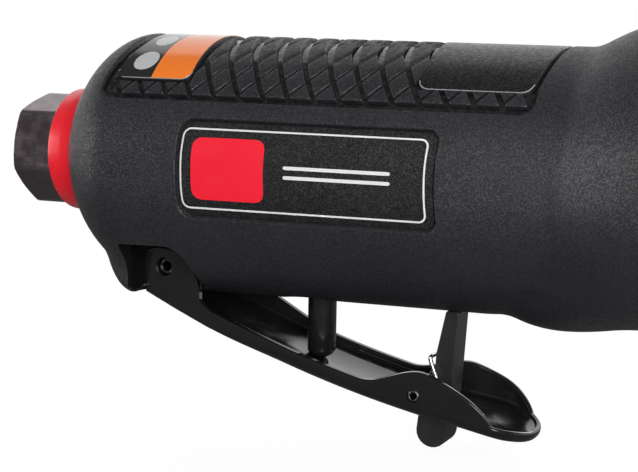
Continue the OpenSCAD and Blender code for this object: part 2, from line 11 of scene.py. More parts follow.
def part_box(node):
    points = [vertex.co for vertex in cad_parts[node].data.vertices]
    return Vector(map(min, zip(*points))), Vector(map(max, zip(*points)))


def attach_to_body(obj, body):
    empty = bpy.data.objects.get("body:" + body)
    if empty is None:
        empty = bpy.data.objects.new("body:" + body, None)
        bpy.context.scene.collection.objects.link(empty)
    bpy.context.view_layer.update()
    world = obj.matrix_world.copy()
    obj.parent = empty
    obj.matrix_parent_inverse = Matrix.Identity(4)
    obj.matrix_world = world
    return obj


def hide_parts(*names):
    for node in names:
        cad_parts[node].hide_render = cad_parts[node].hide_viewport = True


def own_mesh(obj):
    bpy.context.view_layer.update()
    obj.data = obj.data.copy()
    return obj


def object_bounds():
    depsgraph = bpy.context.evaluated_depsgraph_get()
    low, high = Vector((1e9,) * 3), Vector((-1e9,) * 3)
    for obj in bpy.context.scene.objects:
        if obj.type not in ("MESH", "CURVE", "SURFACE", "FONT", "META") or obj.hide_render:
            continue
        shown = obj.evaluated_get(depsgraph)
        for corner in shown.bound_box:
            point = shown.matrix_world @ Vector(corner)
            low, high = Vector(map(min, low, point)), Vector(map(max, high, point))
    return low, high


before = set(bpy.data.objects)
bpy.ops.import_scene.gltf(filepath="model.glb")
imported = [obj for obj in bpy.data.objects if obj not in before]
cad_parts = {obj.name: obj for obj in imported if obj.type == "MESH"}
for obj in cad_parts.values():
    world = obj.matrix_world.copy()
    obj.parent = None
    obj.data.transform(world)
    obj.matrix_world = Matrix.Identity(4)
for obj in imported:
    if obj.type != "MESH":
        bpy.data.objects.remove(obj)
cad_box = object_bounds()

MM = 0.001


def node_box(node):
    """Lowest and highest corner of a solid."""
    return [Vector(corner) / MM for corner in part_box(node)]


def node_centre(node):
    low, high = node_box(node)
    return (low + high) / 2


# Places that the solids give
hex_len = node_box("inlet_collar")[0].x
rim_x = node_box("inlet_collar")[1].x
collar_r = node_box("inlet_collar")[1].y
front_x = node_box("grip_housing")[1].x
flare_r = node_box("grip_housing")[1].y
pad_low, pad_high = node_box("grip_pad")
label_low, label_high = node_box("side_label_near")
rear_patch_low, rear_patch_high = node_box("rear_top_patch")
front_patch_low, front_patch_high = node_box("front_top_patch")
lever_pin = node_centre("lever_pin")
catch_pin = node_centre("catch_pin")
valve_x = node_centre("valve_stem").x
lever_high = node_box("throttle_lever")[1]
grip_r = pad_high.z
clear = 0.3

# Grip profile
dome_x = rim_x + 3.3
rim_r = 15.3
shoulder_r = 20.3
waist_r = 19.4
waist_x = 99.0
dome_len = 8.7
dome_power = 0.84
flare_x = 98.6
flare_lean = 1.3
flare_low_lean = 11.4
flare_len = 15.8
flare_power = 1.5
flare_bulge = 0.5
flare_soft = 0.1
flare_round = 2.5
belly_drop = 2.5
belly_z = -grip_r - belly_drop
belly_start = 20.0
belly_end_x = 84.0
belly_fade = 25.0
front_rise = 1.95
front_level = 3.0

# Hinge boss under the dome, and the pocket for the lever's ears
boss_r = 7.5
boss_x = lever_pin.x - 3.4
boss_z = lever_pin.z + 3.2
boss_fade_x = boss_x + 2.5
boss_fade = 10.0
boss_plan_r = 12.9
boss_plan_x = lever_pin.x - 1.5
boss_soft = 2.1
boss_blend = 3.0
ear_r = 3.6
sheet = 1.5
tang_half = lever_high.y - sheet - clear
pocket_back = lever_pin.x - 4.85
pocket_top = lever_pin.z + ear_r + 0.7
pocket_floor = lever_pin.z - 3.8
near_pocket_front = lever_pin.x + 7.3
far_pocket_front = near_pocket_front + 1.3
lever_pin_r = 1.5
catch_pin_r = 1.0
loose_fit, running_fit, tight_fit = 0.05, 0.04, 0.03

# Lever curve
lever_half = lever_high.y
lever_end = lever_high.x - 0.6
lever_drop = 15.2
lever_slope = math.radians(16.5)
bow_r = 200.0
bow_x = valve_x + bow_r * math.sin(lever_slope)
bow_z = lever_pin.z - lever_drop + bow_r * math.cos(lever_slope)
ear_arc_r = 7.25
ear_arc = (lever_pin.x - 0.75, lever_pin.z - 4)
floor_x = lever_pin.x + 0.8
floor_t = 1.0
floor_dish = 0.6
wall_h = 3.0
bump_x = catch_pin.x + 1.5
bump_h = 7.2
bump_rise = 11.0
bump_fall = 11.3
lip_h = 1.8
far_shift = 2.6
far_rise = 2.45
far_rise_x = lever_pin.x + 7
far_rise_len = 18.0
far_drop = 0.7
fall_power, fall_round = 1.29, 0.4
spoon_r = 8.6
spoon_dip = 1.2
spoon_run = 5.0

# Safety catch
catch_half = 2.5
hub_r = 2.2
tip_h = belly_z + 0.4 - catch_pin.z
mid_h = 5.6
blade_front = 4.85
tip_w = 2.1
blade_w = 3.5
tab_r = 2.65
tab_drop = 6.99
tab_x = 0.9
tab_reach = 9.05
slot_front = catch_pin.x + tab_reach + 0.2

# Textured pad: its recess, its scales and its two bare fields
pad_angle = math.radians(29.6)
pad_depth = 0.75
pad_rear = 1.6
pad_over = 0.4
pad_ends = (pad_low.x - pad_rear - pad_over, pad_high.x + pad_over)
pad_corner = 2.4
pad_lean = 0.25
lean_fade = 8.0
recess_wall = 0.3
scale_angle = math.radians(32.7)
scale_pitch = 4.2
slit_slope = 1.04
groove_slope = 0.72
slit_w = 0.55
groove_w = 0.85
groove_spread = 1.3
scale_x = 50.0
scale_z = 13.44
field_angle = math.radians(40.6)
border = 1.0

# Side labels
label_sink = 0.8
label_angles = (math.radians(-23.2), math.radians(21.6))
label_middle = sum(label_angles) / 2
label_half = (label_angles[1] - label_angles[0]) / 2
label_front = label_high.x + 0.7
label_gap = 0.15
label_ends = (label_low.x - label_gap, label_front + label_gap)
label_corner = 2.2
label_bow = 0.6
bow_fade = 10.0
bow_edge = 0.3
line_span = (label_low.x + 0.55, label_high.x - 0.75)
line_angles = (math.radians(-19.1), math.radians(17.5))


def ease(t):
    """Smooth step from 0 to 1."""
    t = np.clip(t, 0.0, 1.0)
    return t * t * (3 - 2 * t)


def soft_max(a, b, k):
    """The larger of two, rounded over a width of k."""
    h = np.clip(0.5 + 0.5 * (a - b) / k, 0.0, 1.0)
    return b + (a - b) * h + k * h * (1 - h)


def soft_min(a, b, k):
    return -soft_max(-a, -b, k)


def graded(low, high, marks, fine, coarse, growth=0.09):
    """Places from low to high that crowd towards the marks."""
    places = [low]
    while places[-1] < high:
        away = min(abs(places[-1] - m) for m in marks)
        places.append(places[-1] + min(coarse, fine + growth * away))
    return low + (np.array(places) - low) * (high - low) / (places[-1] - low)


# Meshes


def join_object(name, verts, faces, materials, angle=32):
    """A mesh object from vertices in millimetres, with outward normals and smooth shading up to an angle."""
    mesh = bpy.data.meshes.new(name)
    mesh.from_pydata((np.asarray(verts, float) * MM).tolist(), [], [list(f) for f in faces])
    bm = bmesh.new()
    bm.from_mesh(mesh)
    bmesh.ops.remove_doubles(bm, verts=bm.verts, dist=1e-7)
    bmesh.ops.recalc_face_normals(bm, faces=bm.faces)
    bm.to_mesh(mesh)
    bm.free()
    obj = bpy.data.objects.new(name, mesh)
    bpy.context.scene.collection.objects.link(obj)
    for material in materials if isinstance(materials, list) else [materials]:
        mesh.materials.append(material)
    shade(obj, angle)
    return obj


def shade(obj, angle):
    obj.data.shade_smooth()
    obj.data.set_sharp_from_angle(angle=math.radians(angle))


def attach(obj, body, slot, *nodes):
    """The piece rides on a body and stands for these solids, if any; the slot is not used."""
    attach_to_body(obj, body)
    if nodes:
        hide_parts(*nodes)


def strip_faces(rows, columns, close_rows=False, close_columns=False, start=0):
    """Quads over a grid of vertices numbered row by row."""
    faces = []
    for i in range(rows if close_rows else rows - 1):
        for j in range(columns if close_columns else columns - 1):
            a = i * columns
            b = (i + 1) % rows * columns
            k = (j + 1) % columns
            faces.append((start + a + j, start + a + k, start + b + k, start + b + j))
    return faces


def closed_stack(rows, columns):
    """Quads over a stack of closed rings, with a face on each end."""
    last = (rows - 1) * columns
    ends = [list(range(columns)), list(range(last, last + columns))]
    return strip_faces(rows, columns, close_columns=True) + ends


def arc(centre, radius, degrees):
    """Points of an arc at these angles, from the first axis towards the second."""
    u, v = centre
    return [(u + radius * math.cos(a), v + radius * math.sin(a)) for a in np.radians(degrees)]


def fillet(points, steps=5):
    """An outline with its corners rounded; a point is (x, y) or (x, y, radius)."""
    nearly_straight = math.radians(89.5)
    out = []
    for i, p in enumerate(points):
        corner = Vector(p[:2])
        radius = p[2] if len(p) > 2 else 0
        before = (Vector(points[i - 1][:2]) - corner).normalized()
        after = (Vector(points[(i + 1) % len(points)][:2]) - corner).normalized()
        half = before.angle(after, math.pi) / 2
        if not radius or half > nearly_straight:
            out.append(tuple(corner))
            continue
        reach = radius / math.tan(half)
        middle = corner + (before + after).normalized() * radius / math.sin(half)
        first = corner + before * reach - middle
        last = corner + after * reach - middle
        turn = math.atan2(first.x * last.y - first.y * last.x, first.dot(last))
        for k in range(steps + 1):
            a = turn * k / steps
            out.append((middle.x + first.x * math.cos(a) - first.y * math.sin(a),
                        middle.y + first.x * math.sin(a) + first.y * math.cos(a)))
    return out


def about_axis(x, r, phi):
    """Points round the motor's axis; an angle of 0 is the near side, a right angle is up."""
    return np.stack(np.broadcast_arrays(x, -r * np.cos(phi), r * np.sin(phi)), -1)


def lathe(name, profile, material, segments, axis="X", centre=(0, 0, 0)):
    """A closed profile of (place along the axis, radius) turned about an axis through a centre."""
    turn = np.linspace(0, 2 * math.pi, segments, endpoint=False)
    order = {"X": (0, 1, 2), "Y": (1, 0, 2), "Z": (1, 2, 0)}[axis]
    rings = [about_axis(along, radius, turn)[:, order] + np.array(centre) for along, radius in profile]
    return ring_stack(name, rings, material)


def ring_stack(name, rings, material, angle=32):
    """Rings of points joined one to the next, and the last to the first."""
    verts = np.concatenate(rings)
    faces = strip_faces(len(rings), len(rings[0]), close_rows=True, close_columns=True)
    return join_object(name, verts, faces, material, angle)


def plate(outline, y, half, edge):
    """A flat block: an outline in X and Z, spread across Y with rounded edges."""
    flat = np.array(outline)
    nearby = np.roll(flat, 1, 0) - np.roll(flat, -1, 0)
    normal = np.stack([nearby[:, 1], -nearby[:, 0]], 1)
    normal /= np.maximum(np.linalg.norm(normal, axis=1), 1e-9)[:, None]
    area = np.sum(flat[:, 0] * np.roll(flat[:, 1], -1) - np.roll(flat[:, 0], -1) * flat[:, 1])
    normal *= -1 if area > 0 else 1
    layers = []
    for across, inset in ((-half, edge), (-half + 0.3 * edge, 0.3 * edge), (-half + edge, 0),
                          (half - edge, 0), (half - 0.3 * edge, 0.3 * edge), (half, edge)):
        ring = flat - normal * inset
        layers.append(np.stack([ring[:, 0], np.full(len(ring), y + across), ring[:, 1]], 1))
    return np.concatenate(layers), closed_stack(len(layers), len(flat))


def tube(name, path, radius, material, sides=12):
    """A round wire along a path of points, with rounded ends."""
    path = [Vector(p) for p in path]
    across = Vector((0.3, 1, 0.2))
    verts = []
    last = len(path) - 1
    cap = ((0.15, 0.5), (0.7, 0.3))
    rings = [(0, share, -lead) for share, lead in cap] + [(i, 1.0, 0) for i in range(last + 1)]
    rings += [(last, share, lead) for share, lead in reversed(cap)]
    for i, share, lead in rings:
        along = (path[min(i + 1, last)] - path[max(i - 1, 0)]).normalized()
        across = (across - along * across.dot(along)).normalized()
        other = along.cross(across)
        centre = path[i] + along * lead * radius
        for s in range(sides):
            a = 2 * math.pi * s / sides
            verts.append(centre + radius * share * (math.cos(a) * across + math.sin(a) * other))
    return join_object(name, verts, closed_stack(len(rings), sides), material, 50)


def smooth_path(points, steps):
    """Points of a smooth curve through the given ones."""
    p = [Vector(q) for q in points]
    p = [2 * p[0] - p[1]] + p + [2 * p[-1] - p[-2]]
    out = []
    for i in range(1, len(p) - 2):
        for k in range(steps):
            t = k / steps
            out.append(0.5 * (2 * p[i] + (p[i + 1] - p[i - 1]) * t
                              + (2 * p[i - 1] - 5 * p[i] + 4 * p[i + 1] - p[i + 2]) * t * t
                              + (3 * p[i] - p[i - 1] - 3 * p[i + 1] + p[i + 2]) * t ** 3))
    return out + [p[-2]]


def coil(radius, turns, steps=24):
    """Points of a coil: two places across it and the share of its length."""
    angles = [2 * math.pi * i / steps for i in range(turns * steps + 1)]
    return [(radius * math.cos(a), radius * math.sin(a), a / angles[-1]) for a in angles]


def circle(centre, radius):
    return arc(centre, radius, np.linspace(0, 360, 48, endpoint=False))


def prism(points, low, high, upright=False):
    """A block for a cut: an outline in X and Z spread across, or one in X and Y that stands upright."""
    verts = [(a, b, end) if upright else (a, end, b) for end in (low, high) for a, b in points]
    return verts, closed_stack(2, len(points))


def pin_hole(pin, radius, half):
    """A round block for a cut, across the middle."""
    return prism(circle((pin.x, pin.z), radius), -half, half)


def apply_modifiers(obj):
    obj.data = bpy.data.meshes.new_from_object(obj.evaluated_get(bpy.context.evaluated_depsgraph_get()))
    obj.modifiers.clear()


def cut(obj, blocks, angle=32, operation="DIFFERENCE"):
    """Takes the blocks out of a piece, or joins them to it."""
    for number, (verts, faces) in enumerate(blocks):
        block = join_object(f"block_{number}", verts, faces, [])
        modifier = obj.modifiers.new("cut", "BOOLEAN")
        modifier.operation = operation
        modifier.solver = "EXACT"
        modifier.object = block
        apply_modifiers(obj)
        bpy.data.objects.remove(block)
    shade(obj, angle)
    return obj


def even_flats(obj):
    """Flat faces stay evenly lit up to their rounded edges."""
    modifier = obj.modifiers.new("normals", "WEIGHTED_NORMAL")
    modifier.keep_sharp = True
    apply_modifiers(obj)


# Finishes


class Nodes:
    """The shader nodes of a material or of the world."""

    def __init__(self, owner):
        owner.use_nodes = True
        self.tree = owner.node_tree

    def node(self, kind, **settings):
        node = self.tree.nodes.new(kind)
        for key, value in settings.items():
            setattr(node, key, value)
        return node

    def link(self, source, target):
        self.tree.links.new(source, target)

    def range(self, value, low, high, to_low=0, to_high=1, kind="SMOOTHSTEP"):
        node = self.node("ShaderNodeMapRange", interpolation_type=kind)
        limits = {"From Min": low, "From Max": high, "To Min": to_low, "To Max": to_high}
        for key, limit in limits.items():
            node.inputs[key].default_value = limit
        self.link(value, node.inputs["Value"])
        return node.outputs["Result"]

    def combine(self, operation, first, second):
        node = self.node("ShaderNodeMath", operation=operation)
        self.link(first, node.inputs[0])
        self.link(second, node.inputs[1])
        return node.outputs["Value"]


class Finish(Nodes):
    """A material on a Principled surface, with sizes in millimetres in the piece's own space."""

    def __init__(self, name, roughness, metallic=0.0, specular=0.5, coat=0.0):
        self.material = bpy.data.materials.new(name)
        super().__init__(self.material)
        self.sockets = self.tree.nodes["Principled BSDF"].inputs
        values = {"Roughness": roughness, "Metallic": metallic, "Specular IOR Level": specular,
                  "Coat Weight": coat, "Coat Roughness": 0.1}
        for key, value in values.items():
            self.sockets[key].default_value = value
        self.place = self.node("ShaderNodeTexCoord").outputs["Object"]

    def feed(self, socket, output):
        self.link(output, self.sockets[socket])

    def noise(self, size, detail, stretch=(1, 1, 1)):
        """Soft noise with spots of a size; stretch lengthens them along an axis."""
        mapping = self.node("ShaderNodeMapping")
        mapping.inputs["Scale"].default_value = [1 / s for s in stretch]
        self.link(self.place, mapping.inputs["Vector"])
        noise = self.node("ShaderNodeTexNoise")
        noise.inputs["Scale"].default_value = 1 / (size * MM)
        noise.inputs["Detail"].default_value = detail
        self.link(mapping.outputs["Vector"], noise.inputs["Vector"])
        return noise.outputs["Fac"]

    def cloud(self, size, detail, low=0.3, high=0.7, to_low=0, to_high=1, stretch=(1, 1, 1)):
        """Soft noise between two limits, taken to another range."""
        return self.range(self.noise(size, detail, stretch), low, high, to_low, to_high)

    def blend(self, value, first, second):
        """A colour between two, each a colour or another node's output."""
        node = self.node("ShaderNodeMix", data_type="RGBA")
        self.link(value, node.inputs["Factor"])
        for socket, colour in ((node.inputs[6], first), (node.inputs[7], second)):
            if isinstance(colour, tuple):
                socket.default_value = (*colour, 1.0)
            else:
                self.link(colour, socket)
        return node.outputs[2]

    def bump(self, height, depth):
        """Relief of a depth."""
        node = self.node("ShaderNodeBump")
        node.inputs["Strength"].default_value = 1.0
        node.inputs["Distance"].default_value = depth * MM
        self.link(height, node.inputs["Height"])
        self.feed("Normal", node.outputs["Normal"])


def moulded(name, dark, light, roughness, grain, depth):
    """Moulded plastic or rubber with a fine grain, a little glossier here and there."""
    f = Finish(name, roughness)
    f.feed("Base Color", f.blend(f.cloud(9, 3, 0.35), dark, light))
    f.feed("Roughness", f.cloud(0.8, 2, to_low=roughness - 0.06, to_high=roughness + 0.08))
    f.feed("Specular IOR Level", f.cloud(1.5 * grain, 0, 0.4, 0.68, 0.3, 0.85))
    f.bump(f.noise(grain, 0), depth)
    return f.material


def painted(name, colour, worn, roughness, coat=0.0, speck=0.01):
    """Paint or print: even colour, faint cloudiness and a slight orange peel."""
    f = Finish(name, roughness, coat=coat)
    f.feed("Base Color", f.blend(f.cloud(6, 3, 0.4, 0.75, 0, 0.5), colour, worn))
    f.feed("Roughness", f.cloud(3, 3, to_low=roughness - 0.04, to_high=roughness + 0.06))
    f.bump(f.noise(0.9, 2), speck)
    return f.material


def metal(name, dark, light, roughness, stretch, brush, depth, worn=None):
    """Metal with tool marks drawn out along an axis and, where a worn colour is given, paler edges."""
    f = Finish(name, roughness, metallic=1.0)
    colour = f.blend(f.cloud(brush, 3, stretch=stretch), dark, light)
    if worn:
        edges = f.range(f.node("ShaderNodeNewGeometry").outputs["Pointiness"], 0.52, 0.62)
        colour = f.blend(edges, colour, worn)
    f.feed("Base Color", colour)
    f.feed("Roughness", f.cloud(2.2, 4, to_low=roughness - 0.07, to_high=roughness + 0.1))
    f.bump(f.noise(brush, 2, stretch), depth)
    return f.material


def felted(name, dark, light):
    f = Finish(name, 0.95, specular=0.2)
    f.feed("Base Color", f.blend(f.cloud(0.5, 4), dark, light))
    f.bump(f.noise(0.3, 4), 0.15)
    return f.material


ink = (0.006, 0.006, 0.007), (0.009, 0.009, 0.010)
composite = moulded("composite", (0.0155, 0.0155, 0.019), (0.019, 0.019, 0.0235), 0.43, 0.16, 0.06)
scale_rubber = moulded("scale_rubber", (0.014, 0.014, 0.017), (0.018, 0.018, 0.0215), 0.46, 0.16, 0.05)
# Painted shade: a near-black colour for the pad's recess floor and the pockets' walls, darker than the
# housing itself
painted_recess_shade = moulded("painted_recess_shade", *ink, 0.12, 0.5, 0.003)
label_black = moulded("label_black", (0.006, 0.006, 0.0065), (0.009, 0.009, 0.0095), 0.4, 0.16, 0.05)
patch_dark = moulded("patch_dark", *ink, 0.3, 0.22, 0.02)
rubber = moulded("rubber", (0.008, 0.008, 0.008), (0.014, 0.014, 0.014), 0.6, 0.3, 0.02)
exhaust_plastic = moulded("exhaust_plastic", (0.009, 0.009, 0.010), (0.014, 0.014, 0.015), 0.5, 0.25, 0.02)
vane_fibre = moulded("vane_fibre", (0.12, 0.055, 0.022), (0.20, 0.10, 0.045), 0.6, 0.4, 0.02)
felt = felted("felt", (0.16, 0.14, 0.12), (0.32, 0.29, 0.25))
patch_black = painted("patch_black", *ink, 0.12, 0.6, 0.004)
patch_grey = painted("patch_grey", (0.55, 0.56, 0.57), (0.42, 0.43, 0.45), 0.2, 0.6)
print_white = painted("print_white", (0.80, 0.80, 0.80), (0.70, 0.70, 0.71), 0.35)
print_red = painted("print_red", (0.93, 0.013, 0.035), (0.86, 0.011, 0.03), 0.35)
print_orange = painted("print_orange", (1.0, 0.225, 0.012), (0.94, 0.20, 0.010), 0.14, 0.6)
# Painted highlight: a pale grey for thin strips along the patches' lower edges, where the light glints
painted_edge_highlight = painted("painted_edge_highlight", (0.34, 0.34, 0.36), (0.26, 0.26, 0.27), 0.25)
collar_red = painted("collar_red", (1.0, 0.010, 0.026), (0.95, 0.008, 0.022), 0.3, 0.2, 0.004)
lever_paint = painted("lever_paint", (0.0095, 0.009, 0.010), (0.0135, 0.0127, 0.014), 0.1, 0.2, 0.004)
catch_paint = painted("catch_paint", (0.014, 0.014, 0.016), (0.022, 0.022, 0.024), 0.4, 0.0, 0.012)
stem_black = painted("stem_black", (0.008, 0.008, 0.009), (0.014, 0.014, 0.016), 0.2, 0.3, 0.002)
gunmetal = metal("gunmetal", (0.145, 0.117, 0.130), (0.205, 0.165, 0.182), 0.24, (6, 1, 1), 0.35, 0.006,
                 (0.5, 0.47, 0.48))
nut_metal = metal("nut_metal", (0.17, 0.17, 0.175), (0.26, 0.26, 0.27), 0.3, (1, 5, 5), 0.3, 0.005,
                  (0.45, 0.45, 0.46))
cap_metal = metal("cap_metal", (0.46, 0.47, 0.48), (0.62, 0.63, 0.64), 0.3, (1, 14, 14), 0.14, 0.004,
                  (0.72, 0.73, 0.74))
pin_steel = metal("pin_steel", (0.09, 0.09, 0.093), (0.16, 0.16, 0.165), 0.3, (1, 6, 1), 0.2, 0.003,
                  (0.34, 0.34, 0.35))
steel = metal("steel", (0.42, 0.43, 0.45), (0.60, 0.61, 0.63), 0.26, (1, 9, 9), 0.16, 0.003)
alloy = metal("alloy", (0.55, 0.56, 0.58), (0.70, 0.71, 0.73), 0.34, (1, 8, 8), 0.18, 0.004)
brass = metal("brass", (0.48, 0.33, 0.10), (0.64, 0.46, 0.16), 0.3, (8, 8, 1), 0.2, 0.004)
wire_steel = metal("wire_steel", (0.50, 0.50, 0.52), (0.68, 0.68, 0.70), 0.24, (1, 1, 1), 0.3, 0.002)


# Grip housing


def grip_radius(x):
    """Radius of the grip's upper half without the flare: a dome and a slight taper."""
    dome = np.clip((x - dome_x) / dome_len, 0, 1)
    taper = np.clip((x - dome_x - dome_len) / (waist_x - dome_x - dome_len), 0, 1)
    swell = (shoulder_r - rim_r) * np.sin(math.pi / 2 * dome ** dome_power)
    return rim_r + swell - (shoulder_r - waist_r) * taper


def flare(x, phi):
    """What the front flare adds; its soft valley runs forward at the top and back underneath."""
    up = np.sin(phi)
    start = flare_x + flare_lean * np.maximum(up, 0) - flare_low_lean * np.maximum(-up, 0) ** 4
    along = np.clip(soft_max((x - start) / flare_len, 0, flare_soft), 0, 1)
    return (flare_r - waist_r) * (1 - (1 - along) ** (flare_power + flare_bulge * np.abs(up)))


def let_down(r, drop, phi):
    """Distance from the axis to a circle whose lower half is let down, or raised where drop is negative."""
    down = np.maximum(-np.sin(phi), 0)
    side = np.abs(np.cos(phi))
    flat = r / np.maximum(side, 1e-6)
    low = drop * down + np.sqrt(np.maximum(r * r - (drop * side) ** 2, 0))
    lowered = np.where(flat * down <= drop, flat, low)
    return np.where(down <= 0, r, np.where(drop > 0, lowered, r + drop * down ** 2))


def boss_reach(x, phi):
    """Distance from the axis to the hinge boss, seen in each direction below it."""
    down = np.maximum(-np.sin(phi), 1e-3)
    side = np.maximum(np.abs(np.cos(phi)), 1e-3)
    back = np.minimum(x - boss_x, 0)
    plan_back = np.minimum(x - boss_plan_x, 0)
    fade = boss_r * ease((x - boss_fade_x) / boss_fade)
    deep = -boss_z + np.sqrt(np.maximum(boss_r ** 2 - back ** 2, 0)) - fade
    half = np.sqrt(np.maximum(boss_plan_r ** 2 - plan_back ** 2, 0))
    inside = (back > -boss_r) & (np.sin(phi) < -0.1)
    return np.where(inside, soft_min(deep / down, half / side, boss_soft), 0)


def grip_surface(x, phi):
    """Distance from the motor axis to the plain outside of the housing."""
    fade_end = belly_end_x + belly_fade
    drop = belly_drop * ease((x - dome_x) / belly_start)
    drop = drop - (belly_drop + front_rise) * ease((x - belly_end_x) / belly_fade)
    drop = drop + front_rise * ease((x - fade_end) / (front_x - fade_end - front_level))
    body = let_down(grip_radius(x) + flare(x, phi), drop, phi)
    return soft_max(body, boss_reach(x, phi), boss_blend)


def lean_at(x, phi):
    """How far the pad's ends lean forward, which fades out away from them."""
    rise = np.maximum(grip_radius(x) * np.sin(phi) - scale_z, 0)
    near = np.maximum(1 - np.abs(x - pad_low.x) / lean_fade, 1 - np.abs(x - pad_high.x) / lean_fade)
    return pad_lean * rise * ease(near)


def near_angle(phi):
    """An angle on the far side taken to its mirror image on the near side."""
    return np.where(np.cos(phi) > 0, phi, np.where(phi > 0, math.pi - phi, -math.pi - phi))


def bow_at(u, phi):
    """How far the side labels' corners lie ahead of the middle of their ends."""
    off = np.abs(near_angle(phi) - label_middle) / label_half
    ends = ease((u - dome_x) / bow_fade) * ease((flare_x - u) / bow_fade)
    return label_bow * np.minimum(off, 1) ** 2 * ease((1 + bow_edge - off) / bow_edge) * ends


def box_distance(u, v, half_u, half_v, corner):
    """Signed distance to a rounded rectangle, negative inside."""
    a = np.abs(u) - half_u + corner
    b = np.abs(v) - half_v + corner
    outside = np.hypot(np.maximum(a, 0), np.maximum(b, 0))
    return outside + np.minimum(np.maximum(a, b), 0) - corner


def pad_distance(u, phi):
    """Distance to the pad's recess."""
    across = (phi - math.pi / 2) * grip_r
    half_u = (pad_ends[1] - pad_ends[0]) / 2
    half_across = (math.pi / 2 - pad_angle) * grip_r
    return box_distance(u - sum(pad_ends) / 2, across, half_u, half_across, pad_corner)


def label_distance(u, phi):
    """Distance to the nearer of the two side labels' recesses."""
    across = (near_angle(phi) - label_middle) * grip_r
    half_u = (label_ends[1] - label_ends[0]) / 2
    return box_distance(u - sum(label_ends) / 2, across, half_u, label_half * grip_r, label_corner)


def housing_rear():
    """Profile of the socket behind the dome and of the dome's rounded rim."""
    socket_r, socket_x, core_r = 8.05, rim_x + 6, 1.0
    return [(socket_x, core_r), (socket_x, socket_r), (dome_x - 1.1, socket_r), (dome_x - 1.05, rim_r - 1.5),
            (dome_x - 0.85, rim_r - 0.9), (dome_x - 0.45, rim_r - 0.4)]


def housing_front():
    """Profile of the flare's rounded edge, the groove for the exhaust ring and the motor's bore."""
    ring_in, ring_out, groove_x = 17.95, 21.45, front_x - 8.5
    bore_r, bore_x, core_r = 16.0, front_x - 14, 1.0
    edge = arc((front_x - flare_round, flare_r - flare_round), flare_round, range(78, -1, -13))
    return edge + [(front_x, ring_out), (groove_x, ring_out), (groove_x, ring_in), (front_x, ring_in),
                   (front_x, bore_r), (bore_x, bore_r), (bore_x, core_r)]


def pocket(front):
    """Outline of the room for one of the lever's ears."""
    lip_x = lever_pin.x - ear_r - 0.35
    below = -2 * grip_r
    return fillet([(pocket_back, pocket_top, 0.8), (lever_pin.x + 5, pocket_top + 0.4, 2.5),
                   (front - 0.2, pocket_top - 0.9, 2.5), (front + 0.7, lever_pin.z + 0.5, 3.0),
                   (front, belly_z), (front, below), (lip_x, below),
                   (lip_x, pocket_floor - 0.7), (pocket_back, pocket_floor, 0.6)])


def housing_cuts():
    """Blocks for the two pockets, the catch's groove, the valve's bush and the hinge pin."""
    wide = 30
    below = belly_z - 3
    groove_top, groove_slant = belly_z + 3.2, 3.6
    groove_back, groove_front = catch_pin.x - 12.6, catch_pin.x + blade_front + 0.7
    bush_r, bush_top = 6.5, belly_z + 8
    groove = [(groove_front, below), (groove_front, belly_z), (groove_front - groove_slant, groove_top),
              (groove_back, groove_top), (groove_back, below)]
    return [prism(pocket(near_pocket_front), -wide, -tang_half),
            prism(pocket(far_pocket_front), tang_half, wide),
            prism(groove, -catch_half - clear, catch_half + clear),
            prism(circle((valve_x, 0), bush_r), below, bush_top, upright=True),
            pin_hole(lever_pin, lever_pin_r + loose_fit, 2 * tang_half)]


def paint_recess_shade(housing):
    """Gives the pad's floor and the walls of the two pockets a second, darker material: painted shade in
    these recesses.
    """
    inset, skin, margin = 0.2, 2.5, 1.0
    x, y, z = np.array([p.center for p in housing.data.polygons]).T / MM
    phi = np.arctan2(z, -y)
    away = np.hypot(y, z)
    # The faces that get the painted shade: the pad's recess floor and the sunk walls of the pockets
    in_pad = (pad_distance(x - lean_at(x, phi), phi) < -inset) & (away > grip_r - skin)
    in_slot = (x > pocket_back - clear) & (x < far_pocket_front + margin) & (z < pocket_top + margin)
    sunk = away < grip_surface(x, phi) - clear
    housing.data.polygons.foreach_set("material_index", (in_pad | (sunk & in_slot)).astype(np.int32))


def make_housing():
    fine, coarse_along, coarse_around = 0.09, 0.8, 0.75
    marks = [end + d for end in (*pad_ends, *label_ends) for d in (0, recess_wall)] + [dome_x]
    along = graded(dome_x, front_x - flare_round, marks, fine, coarse_along)
    edges = [pad_angle, math.pi - pad_angle, *label_angles]
    edges += [math.pi - label_angles[1], -math.pi - label_angles[0]]
    around = graded(-math.pi, math.pi, edges, fine / grip_r, coarse_around / grip_r)[:-1]
    u, phi = np.meshgrid(along, around, indexing="ij")
    x = u + lean_at(u, phi) + bow_at(u, phi)
    r = grip_surface(x, phi) - pad_depth * ease(-pad_distance(u, phi) / recess_wall)
    r = r - label_sink * ease(-label_distance(u, phi) / recess_wall)
    rings = [about_axis(*p, around) for p in housing_rear()] + list(about_axis(x, r, phi))
    rings += [about_axis(*p, around) for p in housing_front()]
    faces = closed_stack(len(rings), len(around))
    housing = join_object("housing", np.concatenate(rings), faces, [composite, painted_recess_shade], 40)
    cut(housing, housing_cuts(), 40)
    paint_recess_shade(housing)
    attach(housing, "housing", "composite", "grip_housing")


make_housing()


# Patches that follow the grip


def on_grip(u, phi, lift):
    """A point at a height over the grip's plain surface."""
    x = u + lean_at(u, phi) + bow_at(u, phi)
    return about_axis(x, grip_surface(x, phi) + lift, phi)


def inset_box(box, inset):
    """A rounded rectangle on the grip (two ends, two angles and a corner radius), drawn in all round."""
    low_u, high_u, low_a, high_a, corner = box
    turn = inset / grip_r
    return (low_u + inset, high_u - inset, low_a + turn, high_a - turn, max(corner - inset, 0.02))


